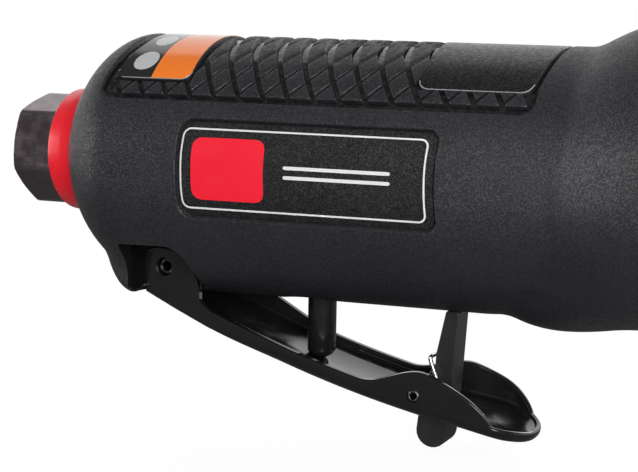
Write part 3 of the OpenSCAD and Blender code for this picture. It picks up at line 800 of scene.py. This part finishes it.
def patch_grid(box, lift, square_rear):
    """A grid over a rounded rectangle on the grip, whose rear corners may stay square."""
    low_u, high_u, low_a, high_a, corner = box
    step = 1.2
    turn = corner / grip_r
    bend = [turn * (1 - math.cos(math.radians(a))) for a in (0, 25, 45, 65, 90)]
    middle = np.linspace(low_a + turn, high_a - turn, max(3, int((high_a - low_a) * grip_r / step)))
    angles = [low_a + b for b in bend[:-1]] + list(middle) + [high_a - b for b in bend[-2::-1]]
    columns = max(4, int((high_u - low_u) / step))
    rows = []
    for a in angles:
        into = max(0.0, turn - (a - low_a), turn - (high_a - a)) * grip_r
        inset = corner - math.sqrt(max(corner ** 2 - into ** 2, 0))
        u = np.linspace(low_u if square_rear else low_u + inset, high_u - inset, columns)
        rows.append(on_grip(u, np.full(columns, a), lift))
    return rows


def patch(name, box, base, top, edge, material, square_rear=False):
    """A solid patch that lies on the grip, with its upper edge rounded off."""
    layers = [patch_grid(inset_box(box, inset), lift, square_rear)
              for inset, lift in ((edge, top), (0, top - edge), (0, base))]
    rows, columns = len(layers[0]), len(layers[0][0])
    size = rows * columns
    verts = np.concatenate([row for layer in layers for row in layer])
    faces = strip_faces(rows, columns) + strip_faces(rows, columns, start=2 * size)
    rim = list(range(columns)) + [i * columns + columns - 1 for i in range(1, rows)]
    rim += list(range(rows * columns - 2, (rows - 1) * columns - 1, -1))
    rim += [i * columns for i in range(rows - 2, 0, -1)]
    for layer in (0, size):
        for a, b in zip(rim, rim[1:] + rim[:1]):
            faces.append((layer + a, layer + b, layer + size + b, layer + size + a))
    return join_object(name, verts, faces, material, 40)


def frame_loop(box, lift, half):
    """Points round a rounded rectangle on the grip, or only along its lower edge and two corners."""
    low_u, high_u, low_a, high_a, corner = box
    steps, piece = 6, 1.5
    spots = ((high_u, high_a, -1, -1, 0), (low_u, high_a, 1, -1, 90), (low_u, low_a, 1, 1, 180),
             (high_u, low_a, -1, 1, 270))

    def corner_point(spot, turn):
        u, a, du, da, start = spot
        t = math.radians(start + turn)
        return (u + corner * (du + math.cos(t)), a + corner * (da + math.sin(t)) / grip_r)

    loop = []
    for i in (2, 3) if half else range(4):
        loop += [corner_point(spots[i], 90 * k / steps) for k in range(steps + 1)]
        if half and i == 3:
            break
        first = Vector(loop[-1])
        last = Vector(corner_point(spots[(i + 1) % 4], 0))
        pieces = max(2, round(abs(last.x - first.x) / piece + abs(last.y - first.y) * grip_r))
        loop += [tuple(first.lerp(last, k / pieces)) for k in range(1, pieces)]
    u, a = np.array(loop).T
    return on_grip(u, a, lift)


def frame_strip(name, box, width, base, top, material, half=False, far=False):
    """A thin line round a rounded rectangle, or along its lower half on the near or the far side."""
    inner = inset_box(box, width)
    corners = ((box, top), (inner, top), (inner, base), (box, base))
    rings = [frame_loop(shape, lift, half) for shape, lift in corners]
    count = min(len(ring) for ring in rings)
    rings = [ring[np.linspace(0, len(ring) - 1, count).round().astype(int)] for ring in rings]
    verts = np.concatenate(rings) * ((1, -1, 1) if far else (1, 1, 1))
    faces = strip_faces(4, count, close_rows=True, close_columns=not half)
    if half:
        faces += [[k * count for k in range(4)], [k * count + count - 1 for k in range(4)]]
    return join_object(name, verts, faces, material, 40)


def make_side_label(side):
    """A sunk black label with a white line round it and plain marks in place of print."""
    low_u, high_u = label_low.x + 0.2, label_front - 0.2
    top = 0.3 - label_sink
    print_base, print_top, print_edge = top - 0.03, top + 0.02, 0.01
    start = line_span[0]
    middle = sum(line_angles) / 2

    def box(low, high, angles, corner):
        """A place on the label, which is turned about its middle on the far side."""
        if side == "near":
            return (low, high, *angles, corner)
        far_angles = (math.pi - angles[1], math.pi - angles[0])
        return (low_u + high_u - high, low_u + high_u - low, *far_angles, corner)

    def angles_at(height, half):
        return (middle + (height - half) / grip_r, middle + (height + half) / grip_r)

    gap = math.radians(1.0)
    field_box = box(low_u, high_u, (label_angles[0] + gap, label_angles[1] - gap), label_corner - 0.3)
    field = patch(f"label_field_{side}", field_box, -label_sink - 0.05, top, 0.08, label_black)
    attach(field, "housing", "label", f"side_label_{side}")
    line_w, line_corner = 0.28, 1.3
    line_box = box(*line_span, line_angles, line_corner)
    line = frame_strip(f"label_line_{side}", line_box, line_w, print_base, print_top, print_white)
    attach(line, "housing", "label")
    block_box = box(start + 1.9, start + 14.3, angles_at(0, 4.9), 1.6)
    block = patch(f"label_block_{side}", block_box, print_base, print_top, print_edge, print_red)
    attach(block, "housing", "label")
    for number, height in enumerate((0.75, -0.75)):
        rule_box = box(start + 17.6, start + 34.8, angles_at(height, line_w), line_w - 0.01)
        rule = patch(f"label_rule_{side}_{number}", rule_box, print_base, print_top, print_edge, print_white)
        attach(rule, "housing", "label")


make_side_label("near")
make_side_label("far")


# Textured pad


def clip(polygon, keep):
    """The part of a polygon where keep, linear over the plane, is at least 0."""
    out = []
    for i, p in enumerate(polygon):
        q = polygon[(i + 1) % len(polygon)]
        a, b = keep(p), keep(q)
        if a >= 0:
            out.append(p)
        if (a > 0 > b) or (a < 0 < b):
            t = a / (a - b)
            out.append((p[0] + (q[0] - p[0]) * t, p[1] + (q[1] - p[1]) * t))
    return out


def area(polygon):
    after = polygon[1:] + polygon[:1]
    return 0.5 * abs(sum(p[0] * q[1] - q[0] * p[1] for p, q in zip(polygon, after)))


def lean_line(x, z):
    """Place along the pad, taken back by its lean."""
    return x - pad_lean * max(z - scale_z, 0)


rear_field = (rear_patch_low.x - 0.6, rear_patch_high.x)
front_field = (front_patch_low.x - 0.4, front_patch_high.x)
pad_span = (pad_low.x + border - pad_over, pad_high.x - border + pad_over)
scale_low = grip_r * math.sin(scale_angle)
field_gap = 0.3
field_low = grip_r * math.sin(field_angle) - field_gap
field_ends = (rear_field[1] + field_gap, front_field[0] - field_gap)
top_share = 0.9995
least_overlap = 0.01
least_scale = 0.35


def scale_shape(i, j):
    """Outline of one scale, seen from the side, or nothing where the pad has none."""
    slit = slit_w / 2 / scale_pitch
    spread_z, spread_fade = 3.2, 3.0
    outline = []
    for p, side in ((i + slit, 0), (i + 1 - slit, 0), (i + 1 - slit, 1), (i + slit, 1)):
        height = scale_pitch * (j + side - p) / (slit_slope + groove_slope)
        widening = 1 + groove_spread * float(ease((height - spread_z) / spread_fade))
        groove = groove_w / 2 / scale_pitch * widening
        q = j + side + (groove if side == 0 else -groove)
        rise = scale_pitch * (q - p) / (slit_slope + groove_slope)
        outline.append((scale_x + slit_slope * rise + scale_pitch * p, scale_z + rise))
    for keep in (lambda p: p[1] - scale_low, lambda p: lean_line(*p) - pad_span[0],
                 lambda p: pad_span[1] - lean_line(*p), lambda p: top_share * grip_radius(p[0]) - p[1]):
        outline = clip(outline, keep)
    return beside_fields(outline)


def beside_fields(outline):
    """The larger part of a scale that stays clear of the pad's bare fields, if it is large enough."""
    over = clip(outline, lambda p: p[1] - field_low)
    under = clip(outline, lambda p: field_low - p[1])
    choices = [outline]
    if area(clip(over, lambda p: field_ends[0] - lean_line(*p))) > least_overlap:
        choices = [under, clip(outline, lambda p: lean_line(*p) - field_ends[0])]
    elif area(clip(over, lambda p: lean_line(*p) - field_ends[1])) > least_overlap:
        choices = [under, clip(outline, lambda p: field_ends[1] - lean_line(*p))]
    best = max(choices, key=area)
    return best if area(best) > least_scale else None


def wrap(outline):
    """A scale's outline as places and angles on the grip, joined over the top to its mirror image."""
    step = 0.6
    points = []
    for i, (x0, z0) in enumerate(outline):
        x1, z1 = outline[(i + 1) % len(outline)]
        a0, a1 = (math.asin(min(z / float(grip_radius(x)), 1.0)) for x, z in ((x0, z0), (x1, z1)))
        steps = max(1, int(max(abs(a1 - a0) * grip_r, abs(x1 - x0)) / step))
        for k in range(steps):
            a = a0 + (a1 - a0) * k / steps
            level = abs(math.sin(a1) - math.sin(a0)) < 1e-6
            share = k / steps if level else (math.sin(a) - math.sin(a0)) / (math.sin(a1) - math.sin(a0))
            points.append((x0 + (x1 - x0) * share, a))
    top = math.asin(0.9994)
    if max(a for _, a in points) < top:
        return [points, [(x, math.pi - a) for x, a in points]]
    start = next(i for i in range(len(points)) if points[i][1] >= top > points[i - 1][1])
    points = points[start:] + points[:start]
    chain = [p for p in points if p[1] < top]
    return [chain + [(x, math.pi - a) for x, a in reversed(chain)]]


def scale_mesh(loop, start):
    """One scale with its upper edge rounded off; its vertices are numbered from start."""
    layers = ((1.05, -pad_depth - 0.1), (1.0, -0.2), (0.97, -0.08), (0.9, -0.02), (0.5, 0.0))
    x, a = np.array(loop).T
    mid_x, mid_a = x.mean(), a.mean()
    count = len(loop)
    verts = []
    for share, lift in layers:
        px = mid_x + (x - mid_x) * share
        pa = mid_a + (a - mid_a) * share
        verts += about_axis(px, grip_surface(px, pa) + lift, pa).tolist()
    verts.append(about_axis(mid_x, grip_surface(mid_x, mid_a), mid_a).tolist())
    faces = strip_faces(len(layers), count, close_columns=True, start=start)
    peak = start + len(layers) * count
    last = peak - count
    faces += [(last + k, last + (k + 1) % count, peak) for k in range(count)]
    faces.append(list(range(start, start + count)))
    return verts, faces


def make_scales():
    verts, faces = [], []
    reach = int(2 * grip_r / scale_pitch * (slit_slope + groove_slope)) + 12
    for i in range(-reach, reach):
        for j in range(-reach, reach):
            outline = scale_shape(i, j)
            for loop in wrap(outline) if outline else []:
                more_verts, more_faces = scale_mesh(loop, len(verts))
                verts += more_verts
                faces += more_faces
    scales = join_object("grip_scales", verts, faces, scale_rubber, 45)
    attach(scales, "housing", "pad", "grip_pad")


make_scales()


# Bare fields and the patches on them

field_span = (field_angle, math.pi - field_angle)
patch_gap, patch_base, patch_edge = 0.15, -0.1, 0.03
patch_span = (field_angle + patch_gap / grip_r, math.pi - field_angle - patch_gap / grip_r)


def make_fields():
    base, top, edge = -pad_depth - 0.1, -0.06, 0.15
    for name, ends in (("rear", rear_field), ("front", front_field)):
        field = patch(f"pad_field_{name}", (*ends, *field_span, 1.8), base, top, edge, scale_rubber)
        attach(field, "housing", "pad")


def make_rear_patch():
    """An orange band beside a black one with grey dots."""
    rear, front = rear_field
    split = rear + 0.49 * (front - rear)
    orange_box = (split, front - patch_gap, *patch_span, 1.7)
    orange = patch("rear_patch_orange", orange_box, patch_base, 0.0, patch_edge, print_orange,
                   square_rear=True)
    attach(orange, "housing", "orange_patch", "rear_top_patch")
    black_box = (rear + patch_gap, split, *patch_span, 0.4)
    black = patch("rear_patch_black", black_box, patch_base, 0.0, patch_edge, patch_black)
    attach(black, "housing", "orange_patch")
    disc_r, disc_u = 2.3, rear + 0.29 * (front - rear)
    half = disc_r / grip_r
    for number, angle in enumerate(np.radians((52, 71, 109, 128))):
        disc_box = (disc_u - disc_r, disc_u + disc_r, angle - half, angle + half, disc_r - 0.01)
        disc = patch(f"rear_patch_disc_{number}", disc_box, patch_base, 0.02, 0.01, patch_grey)
        attach(disc, "housing", "orange_patch")


def make_front_patch():
    """A bare dark field."""
    box = (front_field[0] + patch_gap, front_field[1] - patch_gap, *patch_span, 1.6)
    dark = patch("front_patch_field", box, patch_base, 0.0, patch_edge, patch_dark)
    attach(dark, "housing", "dark_patch", "front_top_patch")


def make_painted_edge_highlights():
    """Thin pale strips along the lower edges of both patches: painted highlights where these edges catch the
    light.
    """
    hair, width, corner, top = 0.03, 0.14, 1.7, -0.02
    for side in ("near", "far"):
        for name, ends, slot in (("rear", rear_field, "orange_patch"), ("front", front_field, "dark_patch")):
            box = inset_box((*ends, *field_span, corner + hair), hair)
            strip = frame_strip(f"{name}_patch_edge_{side}", box, width, patch_base, top, painted_edge_highlight,
                                half=True, far=side == "far")
            attach(strip, "housing", slot)


make_fields()
make_rear_patch()
make_front_patch()
make_painted_edge_highlights()


# Air inlet


def hex_rings(low, high, flats, turn, chamfer_low, chamfer_high, segments=120):
    """Rings along a hexagon whose ends are cut back by a cone."""
    rounding, step = 0.18, 0.05
    angles = np.linspace(0, 2 * math.pi, segments, endpoint=False) + turn
    sector = np.mod(angles - turn, math.pi / 3) - math.pi / 6
    corner = flats / math.sqrt(3)
    shape = np.minimum(flats / 2 / np.cos(sector), corner - rounding)

    def end(place, chamfer, inward):
        """Places and radii of the cone at one end, from its rim inward."""
        if not chamfer:
            return [(place, corner)]
        return [(place + inward * s * chamfer, flats / 2 - step + s * (corner - flats / 2 + step))
                for s in (0, 0.08, 0.2, 0.35, 0.5, 0.65, 0.8, 1.0)]

    places = end(low, chamfer_low, 1) + [((low + high) / 2, corner)] + end(high, chamfer_high, -1)[::-1]
    return [about_axis(x, np.minimum(shape, cone), angles) for x, cone in places], angles


def make_bushing():
    flats, hex_turn, chamfer = 17.0, math.radians(42.3), 0.6
    thread_r, thread_end, pitch, depth = 5.75, 12.0, 1.34, 0.4
    thread_start, thread_step, run_in = 0.85, 0.13, 1.5
    passage_r, shank_r, shank_end = 4.0, 8.0, node_box("inlet_bushing")[1].x
    rings, angles = hex_rings(0, hex_len, flats, hex_turn, chamfer, 0)
    inside = [(hex_len, shank_r), (shank_end - 0.6, shank_r), (shank_end, shank_r - 0.6),
              (shank_end, passage_r), (thread_end + 1, passage_r), (thread_end, passage_r),
              (thread_end, thread_r)]
    for x in np.arange(thread_end - 0.4, thread_start, -thread_step):
        phase = np.mod(x / pitch - angles / (2 * math.pi), 1.0)
        fade = ease((x - thread_start) / run_in)
        inside.append((x, thread_r + 0.25 + depth * fade * (np.abs(2 * phase - 1) - 0.5)))
    inside += [(0.75, thread_r + 0.3), (0.1, thread_r + 0.95), (0, thread_r + 1.1)]
    rings += [about_axis(x, r, angles) for x, r in inside]
    bushing = ring_stack("inlet_hexagon", rings, gunmetal, 30)
    even_flats(bushing)
    attach(bushing, "housing", "gunmetal", "inlet_bushing")


def make_collar():
    """A ring with a conical back edge that reaches a little over the hexagon."""
    inner, lip_r = 8.05, 9.9
    back, front = hex_len - 0.5, dome_x - 1.15
    step_r = collar_r - 0.3
    profile = fillet([(hex_len, inner), (hex_len, lip_r), (back, lip_r, 0.1), (back, lip_r + 0.55, 0.3),
                      (back + 2.6, collar_r, 1.0), (front - 1.0, collar_r, 0.2), (front - 0.7, step_r, 0.15),
                      (front, step_r, 0.1), (front, inner)], 6)
    collar = lathe("red_collar", profile, collar_red, 128)
    attach(collar, "housing", "red", "inlet_collar")


make_bushing()
make_collar()


# Throttle lever


def under_z(x, y=lever_half):
    """Height of the lever's underside: a long bow, hollowed at its end like a spoon."""
    dip = spoon_dip * ease((x - lever_end + spoon_r) / spoon_run) * (1 - (y / lever_half) ** 2)
    return bow_z - np.sqrt(bow_r ** 2 - (x - bow_x) ** 2) - dip


def wall_top(x, far):
    """Height of a side wall over the lever's underside: a bump over the catch that falls to a low lip."""
    shift = far_shift if far else 0
    base = wall_h + (far_rise * (1 - ease((x - far_rise_x) / far_rise_len)) if far else 0)
    peak = bump_h - (far_drop if far else 0)
    rise = base + (peak - base) * ease((x - bump_x - shift + bump_rise) / bump_rise)
    fall = np.clip((x - bump_x - shift) / bump_fall, 0, 1)
    return np.maximum(rise * (1 - fall ** fall_power) ** fall_round, lip_h)


def lever_section(x, far):
    """Half a section of the channel, as distances inward from its side and heights over its underside."""
    lip, inner_r, wall_thin, floor_more = 0.4, 0.7, 0.6, 0.3
    bend_rear, bend_middle, bend_spoon = 0.4, 1.9, 1.3

    def share(start, length):
        """How far the section is past a start, from 0 to 1."""
        return float(ease((x - start) / length))

    high = float(wall_top(x, far))
    thick = sheet - wall_thin * share(bump_x + 1, 6)
    floor = floor_t + floor_more * share(bump_x, 4)
    bend = bend_rear + (bend_middle - bend_rear) * share(lever_pin.x + 8, 14)
    bend -= (bend_middle - bend_spoon) * share(bump_x + 4, 8)
    dish = floor_dish * (1 - share(bump_x - 2, 6))
    inner = min(inner_r, high - floor - dish - lip - 0.05)
    across = lever_half - thick - inner
    outer = arc((bend, bend), bend, range(270, 179, -18))
    curve = arc((thick + inner, floor + dish + inner), inner, range(180, 271, 30))
    curve += [(thick + inner + across * t, floor + dish * (1 - t) ** 2) for t in np.arange(0.15, 1, 0.15)]
    top = arc((lip, high - lip), lip, (180, 155, 130, 110, 90))
    top += [(thick - d, h) for d, h in reversed(top)]
    return outer + top + curve


def lever_ear():
    """Outline of the plate that stands up round the hinge pin at the back of each side wall."""
    back, front = lever_pin.x - ear_r, ear_arc[0] + ear_arc_r
    end = front + 2.2
    crown = arc(ear_arc, ear_arc_r, range(86, -1, -6))
    foot = [(x, float(under_z(x)) - 0.01) for x in np.linspace(end, back, 5)]
    neck = [(front + 0.1, float(under_z(front)) + wall_h + 0.6, 0.9),
            (end, float(under_z(end)) + wall_h - 0.1)]
    return fillet([(back, ear_arc[1] + ear_arc_r - 0.1, 2.2)] + crown + neck + foot)


def lever_edge():
    """Places along one side of the lever and round its corner, each with its inward direction."""
    count, corner_count = 80, 31
    corner_x, corner_y = lever_end - spoon_r, spoon_r - lever_half
    edge = [(x, -lever_half, 0.0, 1.0) for x in np.linspace(floor_x, corner_x, count)]
    for a in np.radians(np.linspace(0, 90, corner_count))[1:]:
        out_x, out_y = math.sin(a), -math.cos(a)
        edge.append((corner_x + spoon_r * out_x, corner_y + spoon_r * out_y, -out_x, -out_y))
    return edge


def lever_sections():
    """Sections of the channel, along the near side, round the spoon and back along the far side."""
    halves = []
    for side in (1, -1):
        half = []
        for x, y, in_x, in_y in lever_edge():
            inward, height = np.array(lever_section(x, side < 0)).T
            place_x = x + in_x * inward
            place_y = side * (y + in_y * inward)
            half.append(np.stack([place_x, place_y, under_z(place_x, place_y) + height], 1))
        halves.append(half)
    return halves[0] + halves[1][::-1]


def channel_faces(count, size):
    """The channel's skin, its floor from side to side, and its rear end."""
    faces = strip_faces(count, size)
    for i in range(count // 2 - 1):
        ladder = (i, i + 1, count - 2 - i, count - 1 - i)
        faces.append([k * size for k in ladder])
        faces.append([k * size + size - 1 for k in ladder])
    faces.append(list(range(size)) + list(range(count * size - 1, (count - 1) * size - 1, -1)))
    return faces


def lever_cuts():
    """Blocks for the catch's slot, the window for its spring and the two pins."""
    slot_half = catch_half + clear
    slot_back = catch_pin.x - hub_r - 2 * clear
    slot_top, below = catch_pin.z - 0.6, catch_pin.z - 12
    window_front = catch_pin.x + hub_r + 2 * clear
    window_side = sheet - lever_half + 0.7

    def opening(front):
        return [(slot_back, below), (front, below), (front, slot_top), (slot_back, slot_top)]

    return [prism(opening(slot_front), -slot_half, slot_half),
            prism(opening(window_front), window_side, 0.1),
            pin_hole(lever_pin, lever_pin_r + running_fit, 2 * lever_half),
            pin_hole(catch_pin, catch_pin_r + tight_fit, 2 * lever_half)]


def make_lever():
    sections = lever_sections()
    faces = channel_faces(len(sections), len(sections[0]))
    lever = join_object("lever_channel", np.concatenate(sections), faces, lever_paint, 40)
    ears = [plate(lever_ear(), side * (lever_half - sheet / 2), sheet / 2 + 0.01, 0.35) for side in (-1, 1)]
    cut(lever, ears, 40, "UNION")
    cut(lever, lever_cuts(), 40)
    even_flats(lever)
    attach(lever, "lever", "lever_black", "throttle_lever")


make_lever()


def make_pin(name, centre, radius, half, body, node):
    """A rolled pin: a hollow rod with rounded ends."""
    bore_r = 0.55 * radius
    profile = fillet([(-half, bore_r, 0.1), (-half, radius, 0.3), (half, radius, 0.3),
                      (half, bore_r, 0.1)], 4)
    pin = lathe(name, profile, pin_steel, 48, "Y", centre)
    attach(pin, body, "pin_steel", node)


make_pin("hinge_pin", lever_pin, lever_pin_r, lever_half - 0.9, "housing", "lever_pin")
make_pin("catch_hinge_pin", catch_pin, catch_pin_r, lever_half, "lever", "catch_pin")


# Safety catch and its spring


def make_catch():
    tab = arc((tab_x, -tab_drop), tab_r, range(180, 361, 15))
    front, back, tip_back = blade_front - 0.7, blade_front - blade_w, blade_front - tip_w
    outline = tab + [(front - 0.4, -tab_drop / 2, 3.0), (front, 0.6, 3.0), (blade_front, tip_h - 0.25, 0.25),
                     (blade_front - 0.3, tip_h, 0.2), (tip_back + 0.2, tip_h, 0.2),
                     (tip_back - 0.1, tip_h - 0.3, 0.3), (back - 0.1, mid_h, 3.0), (back - 0.2, 3.6, 2.0),
                     (-0.8 * hub_r, 0, 2.0), (tab_x - tab_r + 0.4, -tab_drop / 2, 3.0)]
    outline = [(catch_pin.x + x, catch_pin.z + z) for x, z in fillet(outline, 8)]
    catch = join_object("catch_blade", *plate(outline, 0, catch_half, 0.2), catch_paint, 40)
    cut(catch, [pin_hole(catch_pin, catch_pin_r + running_fit, 2 * catch_half)], 40)
    even_flats(catch)
    attach(catch, "catch", "catch_black", "safety_catch")


def make_catch_spring():
    """A coil beside the blade, on the catch's pin, with a leg that hooks behind the blade."""
    wire, turns, pitch = 0.7, 3, 1.25
    coil_r = catch_pin_r + wire
    inner_y = -catch_half - clear - wire / 2
    path = [(u, inner_y - pitch * turns * (1 - share), v) for u, v, share in coil(coil_r, turns)]
    hook_x = blade_front - blade_w - wire / 2 - 0.4
    hook_z = mid_h - 0.4
    leg = [path[-1], (1.15 * coil_r, inner_y, 1.5 * wire), (hook_x + 0.1, inner_y, hook_z - wire),
           (hook_x, inner_y + 0.5 * wire, hook_z), (hook_x, inner_y + catch_half, hook_z)]
    path = [Vector(p) + catch_pin for p in path[:-1] + smooth_path(leg, 8)]
    spring = tube("catch_spring_wire", path, wire / 2, wire_steel)
    attach(spring, "catch", "wire", "catch_spring")


make_catch()
make_catch_spring()


# Valve

poppet_r = 5.2


def make_valve_stem():
    low, high = node_box("valve_stem")
    end_z = low.z - 0.8
    stem_r, poppet_t = 2.35, 3.0
    round_h = 0.6 * stem_r
    poppet_z = high.z - poppet_t
    profile = [(end_z + round_h * (1 - math.sin(a)), stem_r * math.cos(a))
               for a in np.radians((89, 75, 60, 45, 30, 15, 0))]
    profile += fillet([(end_z + round_h, stem_r), (poppet_z, stem_r, 0.3), (poppet_z, poppet_r, 0.4),
                       (high.z, poppet_r, 0.4), (high.z, 0.02)], 4)[1:]
    stem = lathe("valve_stem_turned", profile, stem_black, 64, "Z", (valve_x, 0, 0))
    attach(stem, "valve", "stem_black", "valve_stem")


def make_valve_spring():
    low, high = node_box("valve_spring")
    wire, turns, travel = 0.9, 4, 2.96
    height = high.z - low.z
    path = [(valve_x + u, v, low.z + wire / 2 + (height - wire) * share)
            for u, v, share in coil(poppet_r - wire, turns)]
    spring = tube("valve_spring_wire", path, wire / 2, wire_steel, 10)
    attach(spring, "housing", "wire", "valve_spring")
    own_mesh(spring)


make_valve_stem()
make_valve_spring()


# Nose, spindle and collet


def make_nose():
    low, high = node_box("nose_cap")
    plug_r, flange_r, nose_r, bore_r = 15.95, high.y, 11.5, 6.6
    flange_end = front_x + 3
    seal_r, seal_x = nose_r - 2, high.x - 5
    mid_r = (flange_r + nose_r) / 2
    mid_x = (flange_end + high.x) / 2
    profile = fillet([(low.x, bore_r), (low.x, plug_r), (front_x, plug_r), (front_x, flange_r, 0.3),
                      (flange_end, flange_r, 0.6), (flange_end + 0.6, flange_r - 1.4, 0.5),
                      (mid_x - 0.7, mid_r + 0.2, 0.3), (mid_x - 0.4, mid_r - 0.5, 0.1),
                      (mid_x + 0.4, mid_r - 0.9, 0.1), (mid_x + 0.7, mid_r - 0.6, 0.3),
                      (high.x, nose_r, 0.7), (high.x, seal_r, 0.3), (seal_x, seal_r), (seal_x, bore_r)], 5)
    cap = lathe("nose_cap_turned", profile, cap_metal, 128)
    attach(cap, "housing", "steel", "nose_cap")


def make_nut():
    low, high = node_box("collet_nut")
    flats, chamfer, bore_r, mouth_r = 17.0, 0.9, 6.04, 4.24
    hex_end, thread_end = high.x - 2.2, low.x + 10.7
    rings, angles = hex_rings(low.x, hex_end, flats, 0, chamfer, chamfer)
    profile = fillet([(hex_end, flats / 2 - 0.3), (high.x - 2.0, 7.6, 0.3), (high.x, 6.6, 0.5),
                      (high.x, mouth_r, 0.3)], 4)
    profile += [(thread_end, mouth_r), (thread_end, bore_r), (low.x + 0.6, bore_r), (low.x, bore_r + 0.6)]
    rings += [about_axis(x, r, angles) for x, r in profile]
    nut = ring_stack("collet_nut_turned", rings, nut_metal, 30)
    even_flats(nut)
    attach(nut, "nut", "gunmetal", "collet_nut")


make_nose()
make_nut()


# Finishes of the solids that show as they are
kept = {
    "inlet_screen": steel, "inlet_oring": rubber, "exhaust_felt": felt, "exhaust_ring": exhaust_plastic,
    "cylinder_liner": steel, "rear_end_plate": alloy, "front_end_plate": alloy, "rear_bearing": steel,
    "front_bearing": steel, "locating_pin": steel, "nose_seal": rubber, "valve_bush": brass,
    "valve_seat": rubber, "stem_oring": rubber, "rotor": steel, "spindle": steel,
    "rotor_vanes": vane_fibre, "collet": steel,
}
for node, material in kept.items():
    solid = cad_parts[node]
    solid.data.materials.clear()
    solid.data.materials.append(material)


# Studio


def make_camera():
    azimuth, elevation, roll = (math.radians(a) for a in (24.19, 7.512, 1.08))
    place = Vector((152.592, -219.081, 19.483)) * MM
    photo_width, focal_pixels = 638, 1478.455
    right = Vector((math.cos(azimuth), math.sin(azimuth), 0))
    back = Vector((math.sin(azimuth) * math.cos(elevation), -math.cos(azimuth) * math.cos(elevation),
                   math.sin(elevation)))
    up = back.cross(right)
    turned = math.cos(roll) * right + math.sin(roll) * up
    raised = math.cos(roll) * up - math.sin(roll) * right
    lens = bpy.data.cameras.new("camera")
    lens.sensor_fit = "HORIZONTAL"
    lens.sensor_width = 36
    lens.lens = focal_pixels / photo_width * lens.sensor_width
    lens.clip_start = 0.01
    camera = bpy.data.objects.new("camera", lens)
    camera.matrix_world = Matrix.Translation(place) @ Matrix((turned, raised, back)).transposed().to_4x4()
    bpy.context.scene.collection.objects.link(camera)
    bpy.context.scene.camera = camera


def make_world():
    """A white backdrop that ends overhead, and a dim room before the object; the camera sees only white."""
    backdrop = (0, 0.866, -0.5)
    edge_low, edge_high = -0.16, -0.02
    dim = 0.2
    world = bpy.data.worlds.new("studio")
    bpy.context.scene.world = world
    w = Nodes(world)
    behind = w.node("ShaderNodeVectorMath", operation="DOT_PRODUCT")
    behind.inputs[1].default_value = backdrop
    w.link(w.node("ShaderNodeTexCoord").outputs["Generated"], behind.inputs[0])
    mask = w.range(behind.outputs["Value"], edge_low, edge_high)
    room = w.tree.nodes["Background"]
    white = w.node("ShaderNodeBackground")
    for light in (room, white):
        light.inputs["Color"].default_value = (1, 1, 1, 1)
    w.link(w.range(mask, 0, 1, dim, 1, "LINEAR"), room.inputs["Strength"])
    rays = w.node("ShaderNodeLightPath").outputs
    seen = w.combine("MAXIMUM", rays["Is Camera Ray"], rays["Is Transmission Ray"])
    mirrored = w.combine("MULTIPLY", rays["Is Glossy Ray"], mask)
    choice = w.node("ShaderNodeMixShader")
    w.link(w.combine("MAXIMUM", seen, mirrored), choice.inputs["Fac"])
    w.link(room.outputs["Background"], choice.inputs[1])
    w.link(white.outputs["Background"], choice.inputs[2])
    w.link(choice.outputs["Shader"], w.tree.nodes["World Output"].inputs["Surface"])


def softbox(name, place, target, width, height, radiance, spread=180):
    """A lamp that faces a target; radiance 1 is white, and a spread under 180 degrees narrows its beam."""
    lamp = bpy.data.lights.new(name, "AREA")
    lamp.shape = "RECTANGLE"
    lamp.size = width * MM
    lamp.size_y = height * MM
    lamp.energy = radiance * math.pi * width * height * MM * MM
    if spread < 180:
        lamp.spread = math.radians(spread)
        lamp.energy *= math.tan(lamp.spread / 2) ** 2 / 3
    obj = bpy.data.objects.new(name, lamp)
    obj.location = Vector(place) * MM
    obj.rotation_euler = (Vector(place) - Vector(target)).to_track_quat("Z", "Y").to_euler()
    bpy.context.scene.collection.objects.link(obj)


def make_floor():
    """A plain floor that shows white, with the object's shadow on it; it ends at the backdrop."""
    reach, depth, gap = 3000.0, 160.0, 0.3
    shown_white, mirrored_white = 0.92, 0.05
    level = cad_box[0].z / MM - gap
    f = Finish("floor", 0.8, specular=0.0)
    f.feed("Base Color", f.blend(f.cloud(400, 2), (0.14, 0.14, 0.14), (0.15, 0.15, 0.15)))
    rays = f.node("ShaderNodeLightPath").outputs
    seen = f.combine("MAXIMUM", rays["Is Camera Ray"], rays["Is Transmission Ray"])
    shown = f.combine("MAXIMUM", f.range(seen, 0, 1, 0, shown_white),
                      f.range(rays["Is Glossy Ray"], 0, 1, 0, mirrored_white))
    f.sockets["Emission Color"].default_value = (1, 1, 1, 1)
    f.feed("Emission Strength", shown)
    verts = [(x, y, level) for x, y in ((-reach, -reach), (reach, -reach), (reach, depth), (-reach, depth))]
    floor = join_object("floor", verts, [(0, 1, 2, 3)], f.material)


make_camera()
make_world()
make_floor()
# Lamps: place, target, width, height, radiance and, for a narrow beam, its spread
middle = (60, 0, 0)
softbox("key", (300, -380, 70), middle, 300, 230, 9.0)
softbox("left", (-330, -170, 22), middle, 110, 220, 6.8)
softbox("rim", (190, 420, 215), middle, 240, 130, 3.0)
softbox("flare", (-250, -330, 60), (134, -20, 12), 50, 160, 110.0, 10)
bpy.context.scene.view_settings.view_transform = "Standard"
